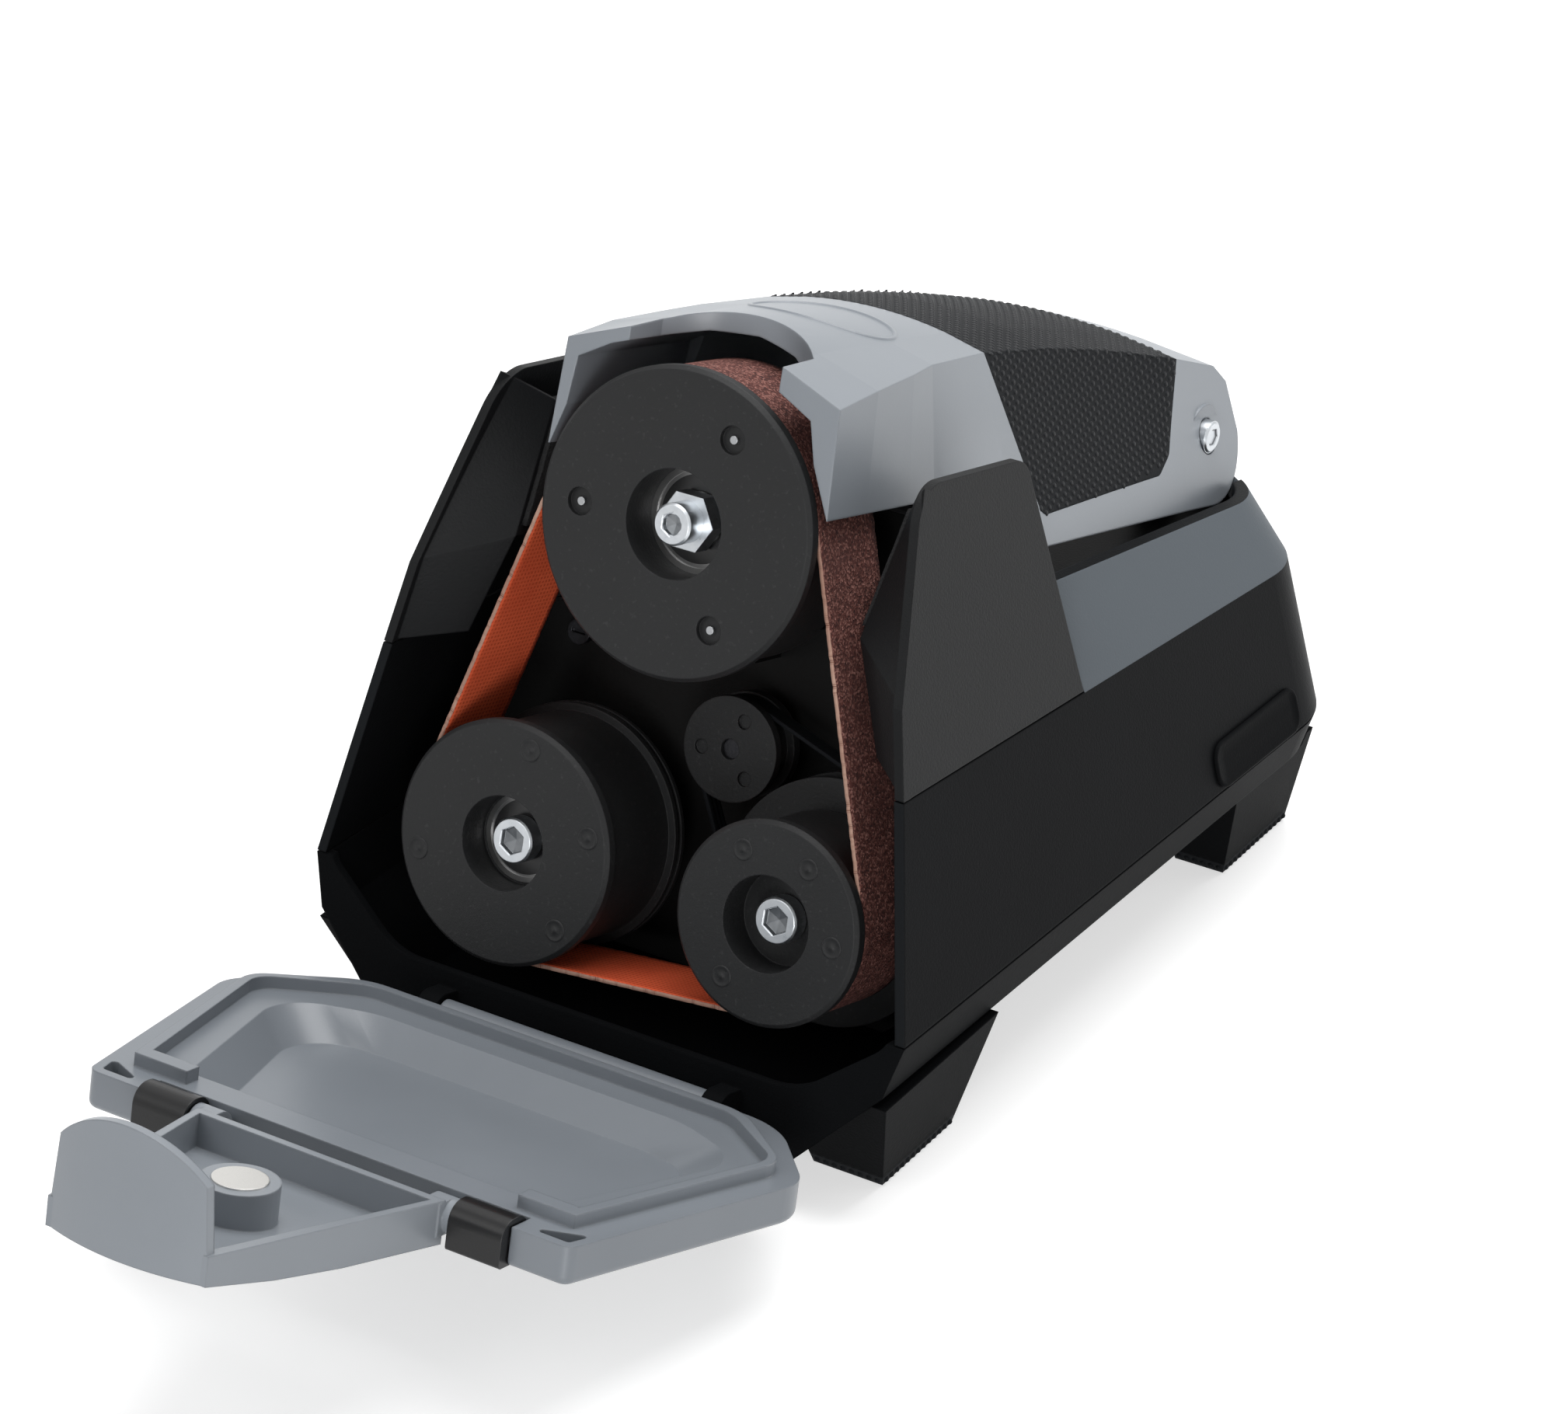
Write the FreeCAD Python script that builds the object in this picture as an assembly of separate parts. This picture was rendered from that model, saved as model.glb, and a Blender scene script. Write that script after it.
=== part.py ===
import FreeCAD, Part
import math
import os

# Belt knife sharpener with its front door open. Millimetres and degrees, +X right, +Y to the rear, +Z up.
# The wheels, the lid and the door are drawn in a leaning frame: u to the right, v up the wheel plane and
# n out of the wheel plane towards the user. Its zero is the centre of the top wheel's front face.

Vec = FreeCAD.Vector

# Lean of the wheel plane, and height of the top wheel's centre over the floor
TILT = 16.75
WHEEL_Z = 143.4

# Abrasive belt and the wheels that carry it: centre u, v and radius
BELT_WIDTH = 25.4
BELT_THICKNESS = 1.0
BELT_FRONT_N = -4.0
BELT_GAP = 0.3
TOP_RADIUS = 37.0
LEFT_U, LEFT_V, LEFT_RADIUS = -33.3, -87.2, 30.0
RIGHT_U, RIGHT_V, RIGHT_RADIUS = 41.0, -85.7, 24.7
TOP_DEPTH = 28.0
LEFT_DEPTH = 34.0
RIGHT_DEPTH = 27.0
FACE_CHAMFER = 1.0
WHEEL_LIP, TRACK_DROP, TRACK_SPARE = 3.4, 2.0, 0.5
FIT = 0.05
RUN_GAP = 0.3

# Bearings: outer radius, inner radius and width
TOP_BEARING_OUTER, TOP_BEARING_INNER, TOP_BEARING_WIDTH = 13.0, 5.0, 8.0
SMALL_BEARING_OUTER, SMALL_BEARING_INNER, SMALL_BEARING_WIDTH = 11.0, 4.0, 7.0
BEARING_SET_BACK = 11.0
SMALL_BEARING_SET_BACK = 9.5
SEAL_STEP = 0.5
HUB_HOLE_RADIUS = 11.6

# Fasteners on the wheels
CAP_HEAD_RADIUS, CAP_HEAD_HEIGHT, CAP_SOCKET = 5.0, 6.0, 5.0
FLAT_HEAD_RADIUS, FLAT_HEAD_HEIGHT, FLAT_SOCKET = 4.75, 3.5, 5.0
CAP_HEAD_FRONT_N = 0.6
STANDOFF_FLATS = 13.0
PIN_CIRCLE, PIN_RADIUS, PIN_FIRST_ANGLE, PIN_COUNT = 26.0, 1.0, 62.0, 3
DIMPLE_RADIUS, DIMPLE_DEPTH = 3.4, 1.4
LEFT_GROOVE = 1.3

# Drive train behind the wheels
MOTOR_U, MOTOR_V = 7.2, -57.0
MOTOR_PULLEY_RADIUS, DRIVE_PULLEY_RADIUS = 12.9, 30.0
PULLEY_FRONT_N, PULLEY_WIDTH = -30.0, 11.0
PULLEY_FLANGE = 2.0
FLANGE_THICKNESS = 2.6
DRIVE_BELT_THICKNESS = 1.2
BULKHEAD_N, BULKHEAD_THICKNESS = -46.0, 4.0
MOTOR_RADIUS, MOTOR_LENGTH, MOTOR_WALL = 26.0, 68.0, 2.2
MOTOR_SHAFT_RADIUS = 2.5
ROTOR_RADIUS = 18.5
FAN_BLADES = 9

# Sprung carriage of the top wheel, which moves down to free the belt
CARRIAGE_HALF, CARRIAGE_TOP, CARRIAGE_BOTTOM = 15.0, 13.0, -17.0
CARRIAGE_FRONT_N = -33.0
CARRIAGE_TRAVEL = 6.0
RAIL_WIDTH = 6.0
SPRING_RADIUS, SPRING_LENGTH = 4.0, 16.0

# Case: each level is half width, z at y = 0 and slope of z along y
FRONT_Y = -60.0
REAR_Y = 195.0
CORNER = 30.0
WALL = 2.6
RIM_N = 3.0
BELLY_HALF, BELLY_Z = 60.0, 13.0
SKIRT_HALF, SKIRT_Z, SKIRT_SLOPE = 80.0, 31.9, -0.030
JOINT_HALF, JOINT_Z, JOINT_SLOPE = 83.6, 44.8, -0.040
CREASE_HALF, CREASE_Z, CREASE_SLOPE = 73.0, 97.3, -0.113
UPPER_HALF, UPPER_Z, UPPER_SLOPE = 61.0, 128.8, -0.203
SEAM = 0.4
DECK_SINK = 9.0
DECK_LIP = 3.5
OPENING_V, OPENING_CORNER = -121.0, 20.0

# Side guards: corners of the side panel as v, n, and the inner edge as u, v, n
GUARD_THICKNESS = 2.4
GUARD_KINK = (-26.0, 3.2)
GUARD_TOP = (22.5, -7.8)
GUARD_TOP_REAR = (24.5, -56.0)
GUARD_ROUND = 12.0
GUARD_REAR_N = -79.5
GUARD_REAR_LEAN = 0.38
INNER_LOW = (57.5, -42.0, -9.5)
INNER_MID = (48.2, -16.0, -9.5)
INNER_TOP = (50.2, 16.0, -21.0)
INNER_REAR_N = -57.0
FELT_THICKNESS = 1.4
FELT_MARGIN = 2.5

# Lid: sections along n as (n, bottom half width, bottom v, edge half width, edge v, crown v)
LID_FRONT_N = -2.5
LID_SECTIONS = (
    (LID_FRONT_N, 38.6, 10.0, 37.4, 35.8, 48.0),
    (-20.0, 38.7, 10.0, 36.8, 38.6, 47.4),
    (-40.0, 38.8, 10.0, 34.4, 40.2, 46.8),
    (-52.0, 38.8, 10.0, 32.4, 41.2, 46.4),
    (-80.0, 49.5, -3.6, 30.6, 41.5, 45.6),
    (-110.0, 49.5, -3.2, 31.2, 40.4, 44.2),
    (-130.0, 49.5, -3.0, 32.4, 38.9, 42.5),
    (-150.0, 49.5, -2.8, 34.4, 36.9, 40.5),
    (-170.0, 49.5, -2.6, 37.4, 34.5, 38.0),
    (-205.0, 49.5, -2.6, 40.0, 29.0, 32.4),
)
LID_NOSE_ROWS = 4
LOBE_HALF = 51.0
LID_SHOULDER = 19.6
LID_WALL = 3.0
NOTCH_HALF, NOTCH_SIDE_N, NOTCH_APEX_N = 20.8, -16.0, -26.0
PIVOT_V, PIVOT_N, LOBE_RADIUS = 14.4, -184.4, 17.0
PIVOT_SCREW_RADIUS, PIVOT_HEAD_RADIUS, PIVOT_HEAD_HEIGHT = 3.0, 4.3, 2.6
EAR_OUTER, EAR_THICKNESS, EAR_RADIUS = 36.0, 6.0, 7.0
PIVOT_SEAT_U, PIVOT_BOSS_RADIUS = 42.4, 8.0
GRIP_THICKNESS = 1.4
# Lid mouth round the top wheel: angle on the wheel and gap to its rim
LID_MOUTH = ((7.4, 1.82), (14.7, 2.71), (33.7, 2.44), (46.3, 6.71), (53.8, 5.36),
             (62.0, 4.69), (73.5, 5.24), (90.0, 5.50), (106.1, 6.20), (116.6, 6.83),
             (124.5, 7.88), (136.7, 9.62), (150.4, 3.49), (165.4, 2.58), (172.6, 1.82))
GRIP_EDGE = ((42.0, -80.0), (3.5, -94.0), (7.1, -156.6), (11.5, -162.7), (34.6, -172.0))
GRIP_FRONT_N, GRIP_REAR_N = -80.0, -178.0
GRIP_ROUNDS = (0.0, 0.0, 3.0, 4.0, 4.0, 0.0, 0.0)

# Door and flap, drawn shut, then swung open about the hinge
DOOR_OPEN = 93.0
HINGE_V, HINGE_N = -130.0, 7.5
HINGE_HALF, BARREL_RADIUS, HINGE_PIN_RADIUS = 37.5, 3.6, 1.5
LUG_WIDTH, LUG_RADIUS = 5.5, 4.8
DOOR_INNER_N, DOOR_THICKNESS = 4.4, 9.4
DOOR_BOTTOM_V, DOOR_WIDE_V, DOOR_TOP_V = -126.0, -101.0, -30.0
DOOR_WIDE_HALF, DOOR_TOP_HALF, DOOR_CORNER = 81.4, 66.0, 22.0
DOOR_EDGE_ROUND = 2.0
DOOR_SKIN = 2.6
RIDGE_INSET, RIDGE_WIDTH, RIDGE_HEIGHT = 6.2, 2.4, 3.2
DISH_INSET, DISH_SLOPE, DISH_CORNER = 15.0, 8.0, 26.0
POCKET_WALL, POCKET_WIDTH, POCKET_LENGTH = 2.6, 13.2, 6.6
STEP_LENGTH, STEP_WIDTH = 13.0, 4.5
FLAP_V, FLAP_N = -32.0, 7.8
FLAP_HINGE_HALF, FLAP_NOSE_HALF, FLAP_NOSE_V = 34.0, 21.3, 38.6
FLAP_NOSE_LIFT = 6.0
FLAP_WALL_NOSE_N, FLAP_WALL_HINGE_N = 0.9, 3.4
FLAP_WALL = 2.4
NOSE_TOP_HALF, NOSE_SIDE_N, NOSE_APEX_N = 19.4, -14.0, -22.5
NOSE_CROWN_RADIUS, NOSE_CROWN_V = 60.0, 42.0
ROD_RADIUS = 2.0
BUSH_INNER, BUSH_LENGTH, BUSH_HALF = 36.4, 14.2, 5.0
BOSS_RADIUS, MAGNET_RADIUS, MAGNET_HEIGHT, MAGNET_FACE_N = 9.0, 6.3, 4.0, 1.0

# Feet: floor and top rectangles of the right-hand feet as x0, x1, y0, y1
FOOT_FRONT_FLOOR = (54.0, 73.0, -24.0, 7.3)
FOOT_FRONT_TOP = (50.0, 81.0, -36.0, 15.0)
FOOT_REAR_FLOOR = (58.0, 72.0, 146.0, 180.0)
FOOT_REAR_TOP = (54.0, 79.5, 138.0, 179.0)
FOOT_TOP_Z = 30.0
PAD_HEIGHT = 3.0

# Controls on the left wall and the board behind them
BUTTON_V, POWER_N, PROGRAM_N = -56.0, -72.0, -94.0
POWER_RADIUS, PROGRAM_RADIUS = 7.0, 5.5
BUTTON_PROUD = 1.8
BUTTON_TRAVEL = 1.5
BUTTON_FLANGE = 1.6
BOARD_U, BOARD_THICKNESS = -60.0, 1.6
BOARD_TOP_V, BOARD_BOTTOM_V, BOARD_REAR_N = -36.0, -78.0, -116.0
SWITCH_HALF = 4.0
INLET_X, INLET_Z, INLET_WIDTH, INLET_HEIGHT, INLET_DEPTH = 30.0, 56.0, 22.0, 15.0, 20.0
INLET_FLANGE, INLET_FLANGE_THICKNESS = 3.0, 1.6
PLAQUE_Y, PLAQUE_LENGTH, PLAQUE_HEIGHT, PLAQUE_THICKNESS, PLAQUE_RISE = 141.0, 44.0, 12.0, 0.9, 0.6
VENT_COUNT, VENT_PITCH, VENT_WIDTH, VENT_HEIGHT = 7, 7.0, 3.0, 16.0
SCREW_HEAD_RADIUS, SCREW_HEAD_HEIGHT = 3.2, 2.2
BULKHEAD_SKIRT_RISE, BULKHEAD_JOINT_RISE = 15.0, 31.0
BULKHEAD_SIDE_GAP, BULKHEAD_TOP_V = 4.2, 6.0
RAIL_SHORT, RAIL_SET_BACK = 8.0, 3.0
MAGNET_AIR_GAP, MAGNET_REAR, MAGNET_FRONT, MAGNET_SPLIT = 1.5, 16.0, 8.0, 10.0
FAN_FRONT, FAN_BACK, FAN_DISC, FAN_BLADE_THICKNESS = 14.0, 4.0, 2.0, 1.5
BLOCK_WALL = 4.0
CAPACITORS = ((-46.0, -62.0, 4.0, 12.0), (-68.0, -64.0, 5.0, 14.0), (-68.0, -84.0, 3.0, 9.0))
CHIP_SIZE, CHIP_V, CHIP_N = (4.0, 12.0, 16.0), -56.0, -108.0
INLET_WALL, INLET_POLE_PITCH, INLET_POLE_RADIUS, INLET_POLE_LENGTH = 3.0, 9.0, 1.2, 12.0
SPACER_WALL, NUT_HEIGHT = 3.0, 6.0
HINGE_PIN_DEPTH = 9.0

FAR = 300.0
SIN = math.sin(math.radians(TILT))
COS = math.cos(math.radians(TILT))
LEAN = FreeCAD.Placement(Vec(0, 0, WHEEL_Z), FreeCAD.Rotation(Vec(1, 0, 0), 90 - TILT))
BULKHEAD_REAR_N = BULKHEAD_N - BULKHEAD_THICKNESS
MOTOR_REAR_N = BULKHEAD_REAR_N - MOTOR_LENGTH
PULLEY_REAR_N = PULLEY_FRONT_N - PULLEY_WIDTH
DOOR_OUTER_N = DOOR_INNER_N + DOOR_THICKNESS

nodes = {}


# Helpers in the leaning frame

def leaning(shape):
    """Carry a shape from u, v, n to the part's own frame."""
    placed = shape.copy()
    placed.Placement = LEAN.multiply(placed.Placement)
    return placed


def world_yz(v, n):
    """Give y and z of a point at v, n."""
    return v * SIN - n * COS, WHEEL_Z + v * COS + n * SIN


def rod(radius, n_from, n_to, u=0.0, v=0.0):
    """Cylinder along the wheel axis."""
    return Part.makeCylinder(radius, abs(n_to - n_from), Vec(u, v, min(n_from, n_to)))


def tube(outer, inner, n_from, n_to, u=0.0, v=0.0):
    """Ring along the wheel axis."""
    reach = 1.0
    low = min(n_from, n_to) - reach
    high = max(n_from, n_to) + reach
    return rod(outer, n_from, n_to, u, v).cut(rod(inner, low, high, u, v))


def cross_rod(radius, u_from, u_to, v, n):
    """Cylinder along u, at v, n."""
    return Part.makeCylinder(radius, abs(u_to - u_from), Vec(min(u_from, u_to), v, n), Vec(1, 0, 0))


def hexagon(flats, n_from, n_to, u=0.0, v=0.0):
    """Six-sided prism along the wheel axis."""
    corner = flats / math.sqrt(3)
    turns = [math.radians(60 * k) for k in range(7)]
    points = [Vec(u + corner * math.cos(a), v + corner * math.sin(a), n_from) for a in turns]
    return Part.Face(Part.makePolygon(points)).extrude(Vec(0, 0, n_to - n_from))


def rounded_face(points, radii):
    """Flat face in x, y whose corners are rounded by their own radii."""
    count = len(points)
    edges = []
    ends = []
    for k in range(count):
        here = Vec(points[k][0], points[k][1], 0)
        before = Vec(points[k - 1][0], points[k - 1][1], 0)
        after = Vec(points[(k + 1) % count][0], points[(k + 1) % count][1], 0)
        radius = radii[k] if radii else 0
        if not radius:
            ends.append((here, here, None))
            continue
        to_before = (before - here).normalize()
        to_after = (after - here).normalize()
        half = to_before.getAngle(to_after) / 2
        middle = (to_before + to_after).normalize()
        reach = radius / math.tan(half)
        centre = here + middle * (radius / math.sin(half))
        ends.append((here + to_before * reach, here + to_after * reach, centre - middle * radius))
    for k in range(count):
        start, stop, via = ends[k]
        if via:
            edges.append(Part.Arc(start, via, stop).toShape())
        following = ends[(k + 1) % count][0]
        edges.append(Part.makeLine(stop, following))
    return Part.Face(Part.Wire(edges))


def plate(points, n_from, n_to, radii=None):
    """Prism along n over an outline given as u, v."""
    face = rounded_face(points, radii)
    face.translate(Vec(0, 0, n_from))
    return face.extrude(Vec(0, 0, n_to - n_from))


def side_plate(points, u_from, u_to, radii=None):
    """Prism along u over an outline given as v, n."""
    face = rounded_face(points, radii)
    face.Placement = FreeCAD.Placement(Vec(u_from, 0, 0), FreeCAD.Rotation(Vec(1, 1, 1), 120))
    return face.extrude(Vec(u_to - u_from, 0, 0))


def top_plate(wire, v_from, v_to):
    """Prism along v over a wire drawn as u, n in the x, y plane."""
    face = Part.Face(wire)
    face.rotate(Vec(0, 0, 0), Vec(1, 0, 0), 90)
    face.translate(Vec(0, v_from, 0))
    return face.extrude(Vec(0, v_to - v_from, 0))


def mirrored(points):
    """Complete a right-hand outline, listed from bottom to top, with its left-hand mirror."""
    return list(points) + [(-u, v) for u, v in reversed(points)]


def flip(shape):
    """Left-hand copy of a right-hand shape."""
    return shape.mirror(Vec(0, 0, 0), Vec(1, 0, 0))


def section(points):
    """Closed polygon wire through points."""
    return Part.makePolygon(list(points) + [points[0]])


def loft(wires):
    """Ruled solid through closed wires."""
    return Part.makeLoft(wires, True, True)


def socket_screw(head_radius, head_height, socket, front_n, u=0.0, v=0.0):
    """Screw head with a hexagon socket, its front face at front_n."""
    head = rod(head_radius, front_n - head_height, front_n, u, v)
    head = head.makeChamfer(head_radius * 0.08, [head.Edges[0]])
    return head.cut(hexagon(socket, front_n - head_height * 0.55, front_n + 1, u, v))


def belt_loop(circles, rise):
    """Wire of straight runs and arcs round circles listed anticlockwise, each swollen by rise."""
    tangents = []
    for k, (u, v, radius) in enumerate(circles):
        next_u, next_v, next_radius = circles[(k + 1) % len(circles)]
        span = math.hypot(next_u - u, next_v - v)
        heading = math.atan2(next_v - v, next_u - u)
        tangents.append(heading - math.acos((radius - next_radius) / span))
    edges = []
    for k, (u, v, radius) in enumerate(circles):
        start = tangents[k - 1]
        sweep = (tangents[k] - start) % (2 * math.pi)
        reach = radius + rise
        arc = [Vec(u + reach * math.cos(a), v + reach * math.sin(a), 0)
               for a in (start, start + sweep / 2, start + sweep)]
        edges.append(Part.Arc(*arc).toShape())
        next_u, next_v, next_radius = circles[(k + 1) % len(circles)]
        far = Vec(next_u + (next_radius + rise) * math.cos(tangents[k]),
                  next_v + (next_radius + rise) * math.sin(tangents[k]), 0)
        edges.append(Part.makeLine(arc[2], far))
    return Part.Wire(edges)


def belt(circles, thickness, n_from, n_to):
    """Flat belt round circles, BELT_GAP clear of them."""
    outer = Part.Face(belt_loop(circles, BELT_GAP + thickness))
    inner = Part.Face(belt_loop(circles, BELT_GAP))
    band = outer.cut(inner)
    band.translate(Vec(0, 0, n_from))
    return band.extrude(Vec(0, 0, n_to - n_from))


def bearing(outer, inner, width, front_n, u=0.0, v=0.0):
    """Sealed ball bearing: a ring with a shallow sealed groove on each face."""
    ring = tube(outer, inner + FIT, front_n - width, front_n, u, v)
    seal_outer = outer - (outer - inner) * 0.18
    seal_inner = inner + (outer - inner) * 0.22
    for n_from in (front_n - SEAL_STEP, front_n - width):
        ring = ring.cut(tube(seal_outer, seal_inner, n_from, n_from + SEAL_STEP, u, v))
    return ring


# Case

def level_wire(half, rear, corner, z, slope):
    """Outline of the case at one level, straight in front and round at the rear corners."""
    def at(x, y):
        return Vec(x, y, z + slope * y)
    cut = corner * (1 - math.sqrt(0.5))
    straight = rear - corner
    right_arc = Part.Arc(at(half, straight), at(half - cut, rear - cut), at(half - corner, rear))
    left_arc = Part.Arc(at(corner - half, rear), at(cut - half, rear - cut), at(-half, straight))
    return Part.Wire([
        Part.makeLine(at(-half, FRONT_Y), at(half, FRONT_Y)),
        Part.makeLine(at(half, FRONT_Y), at(half, straight)),
        right_arc.toShape(),
        Part.makeLine(at(half - corner, rear), at(corner - half, rear)),
        left_arc.toShape(),
        Part.makeLine(at(-half, straight), at(-half, FRONT_Y)),
    ])


def case_loft(levels, inset=0.0):
    """Solid through levels given as (half width, z, slope), drawn in by inset."""
    wires = [level_wire(half - inset, REAR_Y - inset, CORNER - inset, z, slope) for half, z, slope in levels]
    return loft(wires)


def ahead_of(n):
    """Everything in front of the plane at n."""
    return leaning(Part.makeBox(2 * FAR, 2 * FAR, FAR, Vec(-FAR, -FAR, n)))


def side_half(y, z):
    """Half width of the lower side plane of the case, carried on upwards through the guards."""
    low = JOINT_Z + JOINT_SLOPE * y
    high = CREASE_Z + CREASE_SLOPE * y
    return JOINT_HALF - (JOINT_HALF - CREASE_HALF) * (z - low) / (high - low)


def crease_v(n):
    """v of the crease line at n."""
    return (CREASE_Z - WHEEL_Z - n * (SIN + CREASE_SLOPE * COS)) / (COS - CREASE_SLOPE * SIN)


JOINT_LEVEL = (JOINT_HALF, JOINT_Z, JOINT_SLOPE)
CREASE_LEVEL = (CREASE_HALF, CREASE_Z, CREASE_SLOPE)
UPPER_LEVEL = (UPPER_HALF, UPPER_Z, UPPER_SLOPE)
SKIRT_LEVEL = (SKIRT_HALF, SKIRT_Z, SKIRT_SLOPE)
BELLY_LEVEL = (BELLY_HALF, BELLY_Z, 0.0)
tray_outer = case_loft([BELLY_LEVEL, SKIRT_LEVEL, (JOINT_HALF, JOINT_Z - SEAM, JOINT_SLOPE)])


def opening_plate(inset, n_from, n_to):
    """Front opening of the case, drawn in by inset."""
    wide = JOINT_HALF - WALL - inset
    high = CREASE_HALF - WALL - inset
    low_half = BELLY_HALF - WALL - inset
    joint_v = -102.3
    points = mirrored([(low_half, OPENING_V + inset), (wide, joint_v), (high, crease_v(RIM_N))])
    radii = [OPENING_CORNER, OPENING_CORNER / 2, 0, 0, OPENING_CORNER / 2, OPENING_CORNER]
    return plate(points, n_from, n_to, radii)


def make_base_tray():
    """Lower shell: belly, sloped skirt, front wall with the lower half of the opening, and hinge lugs."""
    void = case_loft([(BELLY_HALF, BELLY_Z + WALL, 0.0), SKIRT_LEVEL, JOINT_LEVEL,
                      (JOINT_HALF, JOINT_Z + WALL, JOINT_SLOPE)], WALL)
    void = void.cut(ahead_of(RIM_N - WALL))
    tray = tray_outer.cut(void).cut(ahead_of(RIM_N))
    tray = tray.cut(leaning(opening_plate(0.0, RIM_N - 2 * WALL, RIM_N + 1)))
    for side in (1, -1):
        inner = side * (HINGE_HALF + RUN_GAP)
        outer = inner + side * LUG_WIDTH
        lug = cross_rod(LUG_RADIUS, inner, outer, HINGE_V, HINGE_N)
        root = side_plate([(HINGE_V - LUG_RADIUS, RIM_N - 1), (HINGE_V + LUG_RADIUS, RIM_N - 1),
                           (HINGE_V + LUG_RADIUS, HINGE_N), (HINGE_V - LUG_RADIUS, HINGE_N)], inner, outer)
        hole = cross_rod(HINGE_PIN_RADIUS, inner - side, outer + side, HINGE_V, HINGE_N)
        tray = tray.fuse(leaning(lug.fuse(root).cut(hole)))
    return tray.removeSplitter()


def make_upper_housing():
    """Upper shell: leaning sides, crease, upper slopes, sunk deck under the lid and the lid's two ears."""
    outer = case_loft([JOINT_LEVEL, CREASE_LEVEL, UPPER_LEVEL])
    deck_z = UPPER_Z - DECK_SINK
    void = case_loft([(JOINT_HALF, JOINT_Z - WALL, JOINT_SLOPE), JOINT_LEVEL, CREASE_LEVEL,
                      (UPPER_HALF + WALL, deck_z - WALL, UPPER_SLOPE)], WALL)
    sink_half = UPPER_HALF - DECK_LIP
    sink = case_loft([(UPPER_HALF, deck_z, UPPER_SLOPE),
                      (UPPER_HALF, UPPER_Z + FAR / 10, UPPER_SLOPE)], DECK_LIP)
    shell = outer.cut(void).cut(sink).cut(ahead_of(RIM_N))
    rear_v = crease_v(GUARD_REAR_N)
    top_v = rear_v + 2 * sink_half
    front_cut = side_plate([(crease_v(FAR / 10), FAR / 10), (rear_v, GUARD_REAR_N),
                            (top_v, GUARD_REAR_N + GUARD_REAR_LEAN * (top_v - rear_v)), (top_v, FAR / 10)],
                           -FAR, FAR)
    shell = shell.cut(leaning(front_cut))
    deck_v = -9.0
    for side in (1, -1):
        inner = side * (EAR_OUTER - EAR_THICKNESS)
        outer_u = side * EAR_OUTER
        ear = cross_rod(EAR_RADIUS, inner, outer_u, PIVOT_V, PIVOT_N)
        leg = side_plate([(deck_v, PIVOT_N - EAR_RADIUS), (PIVOT_V, PIVOT_N - EAR_RADIUS),
                          (PIVOT_V, PIVOT_N + EAR_RADIUS), (deck_v, PIVOT_N + EAR_RADIUS)], inner, outer_u)
        hole = cross_rod(PIVOT_SCREW_RADIUS, inner - side, outer_u + side, PIVOT_V, PIVOT_N)
        shell = shell.fuse(leaning(ear.fuse(leg).cut(hole)))
        lobe_room = cross_rod(LOBE_RADIUS + 2 * RUN_GAP, side * (EAR_OUTER + LID_WALL), side * LOBE_HALF,
                              PIVOT_V, PIVOT_N)
        shell = shell.cut(leaning(lobe_room))
    for n, radius in ((POWER_N, POWER_RADIUS), (PROGRAM_N, PROGRAM_RADIUS)):
        shell = shell.cut(leaning(cross_rod(radius + RUN_GAP, -FAR / 3, BOARD_U, BUTTON_V, n)))
    inlet_corner = Vec(INLET_X - INLET_WIDTH / 2, REAR_Y - 2 * WALL, INLET_Z - INLET_HEIGHT / 2)
    shell = shell.cut(Part.makeBox(INLET_WIDTH, 4 * WALL, INLET_HEIGHT, inlet_corner))
    for k in range(VENT_COUNT):
        x = -INLET_X + (k - (VENT_COUNT - 1) / 2) * VENT_PITCH
        shell = shell.cut(Part.makeBox(VENT_WIDTH, 4 * WALL, VENT_HEIGHT,
                                       Vec(x - VENT_WIDTH / 2, REAR_Y - 2 * WALL, INLET_Z - VENT_HEIGHT / 2)))
    return shell.removeSplitter()


def make_guard():
    """Right-hand guard: side panel in the case's side plane, flared front wing and inner knife wall."""
    seam_v = crease_v(RIM_N) + SEAM
    panel_points = [(seam_v, RIM_N), GUARD_KINK, GUARD_TOP, GUARD_TOP_REAR,
                    (crease_v(GUARD_REAR_N) + SEAM, GUARD_REAR_N + SEAM)]
    panel_view = leaning(side_plate(panel_points, 0, FAR, [0, 0, GUARD_ROUND, GUARD_ROUND / 2, 0]))

    def slab(inner_x):
        wires = []
        for y in (FRONT_Y, REAR_Y):
            low = CREASE_Z + CREASE_SLOPE * y - 2 * WALL
            high = WHEEL_Z + FAR / 3
            out_low = side_half(y, low)
            out_high = side_half(y, high)
            wires.append(section([Vec(out_low, y, low), Vec(out_high, y, high),
                                  Vec(inner_x(out_high), y, high), Vec(inner_x(out_low), y, low)]))
        return loft(wires)

    panel = slab(lambda x: x - GUARD_THICKNESS).common(panel_view)
    inside = slab(lambda x: 0.0)
    back = Vec(0.63, 0, -0.77) * GUARD_THICKNESS
    rows = []
    for (v, n), inner in zip([(seam_v, RIM_N), GUARD_KINK, GUARD_TOP], [INNER_LOW, INNER_MID, INNER_TOP]):
        fold = Vec(side_half(*world_yz(v, n)), v, n)
        edge = Vec(*inner)
        rows.append(section([fold, edge, edge + back, fold + back]))
    wing = leaning(loft(rows)).common(inside)
    wall_rows = []
    for inner in (INNER_MID, INNER_TOP):
        edge = Vec(*inner)
        rear = Vec(inner[0], inner[1], INNER_REAR_N)
        thick = Vec(GUARD_THICKNESS, 0, 0)
        wall_rows.append(section([edge, rear, rear + thick, edge + thick]))
    return panel.fuse(wing).fuse(leaning(loft(wall_rows))).removeSplitter()


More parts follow.
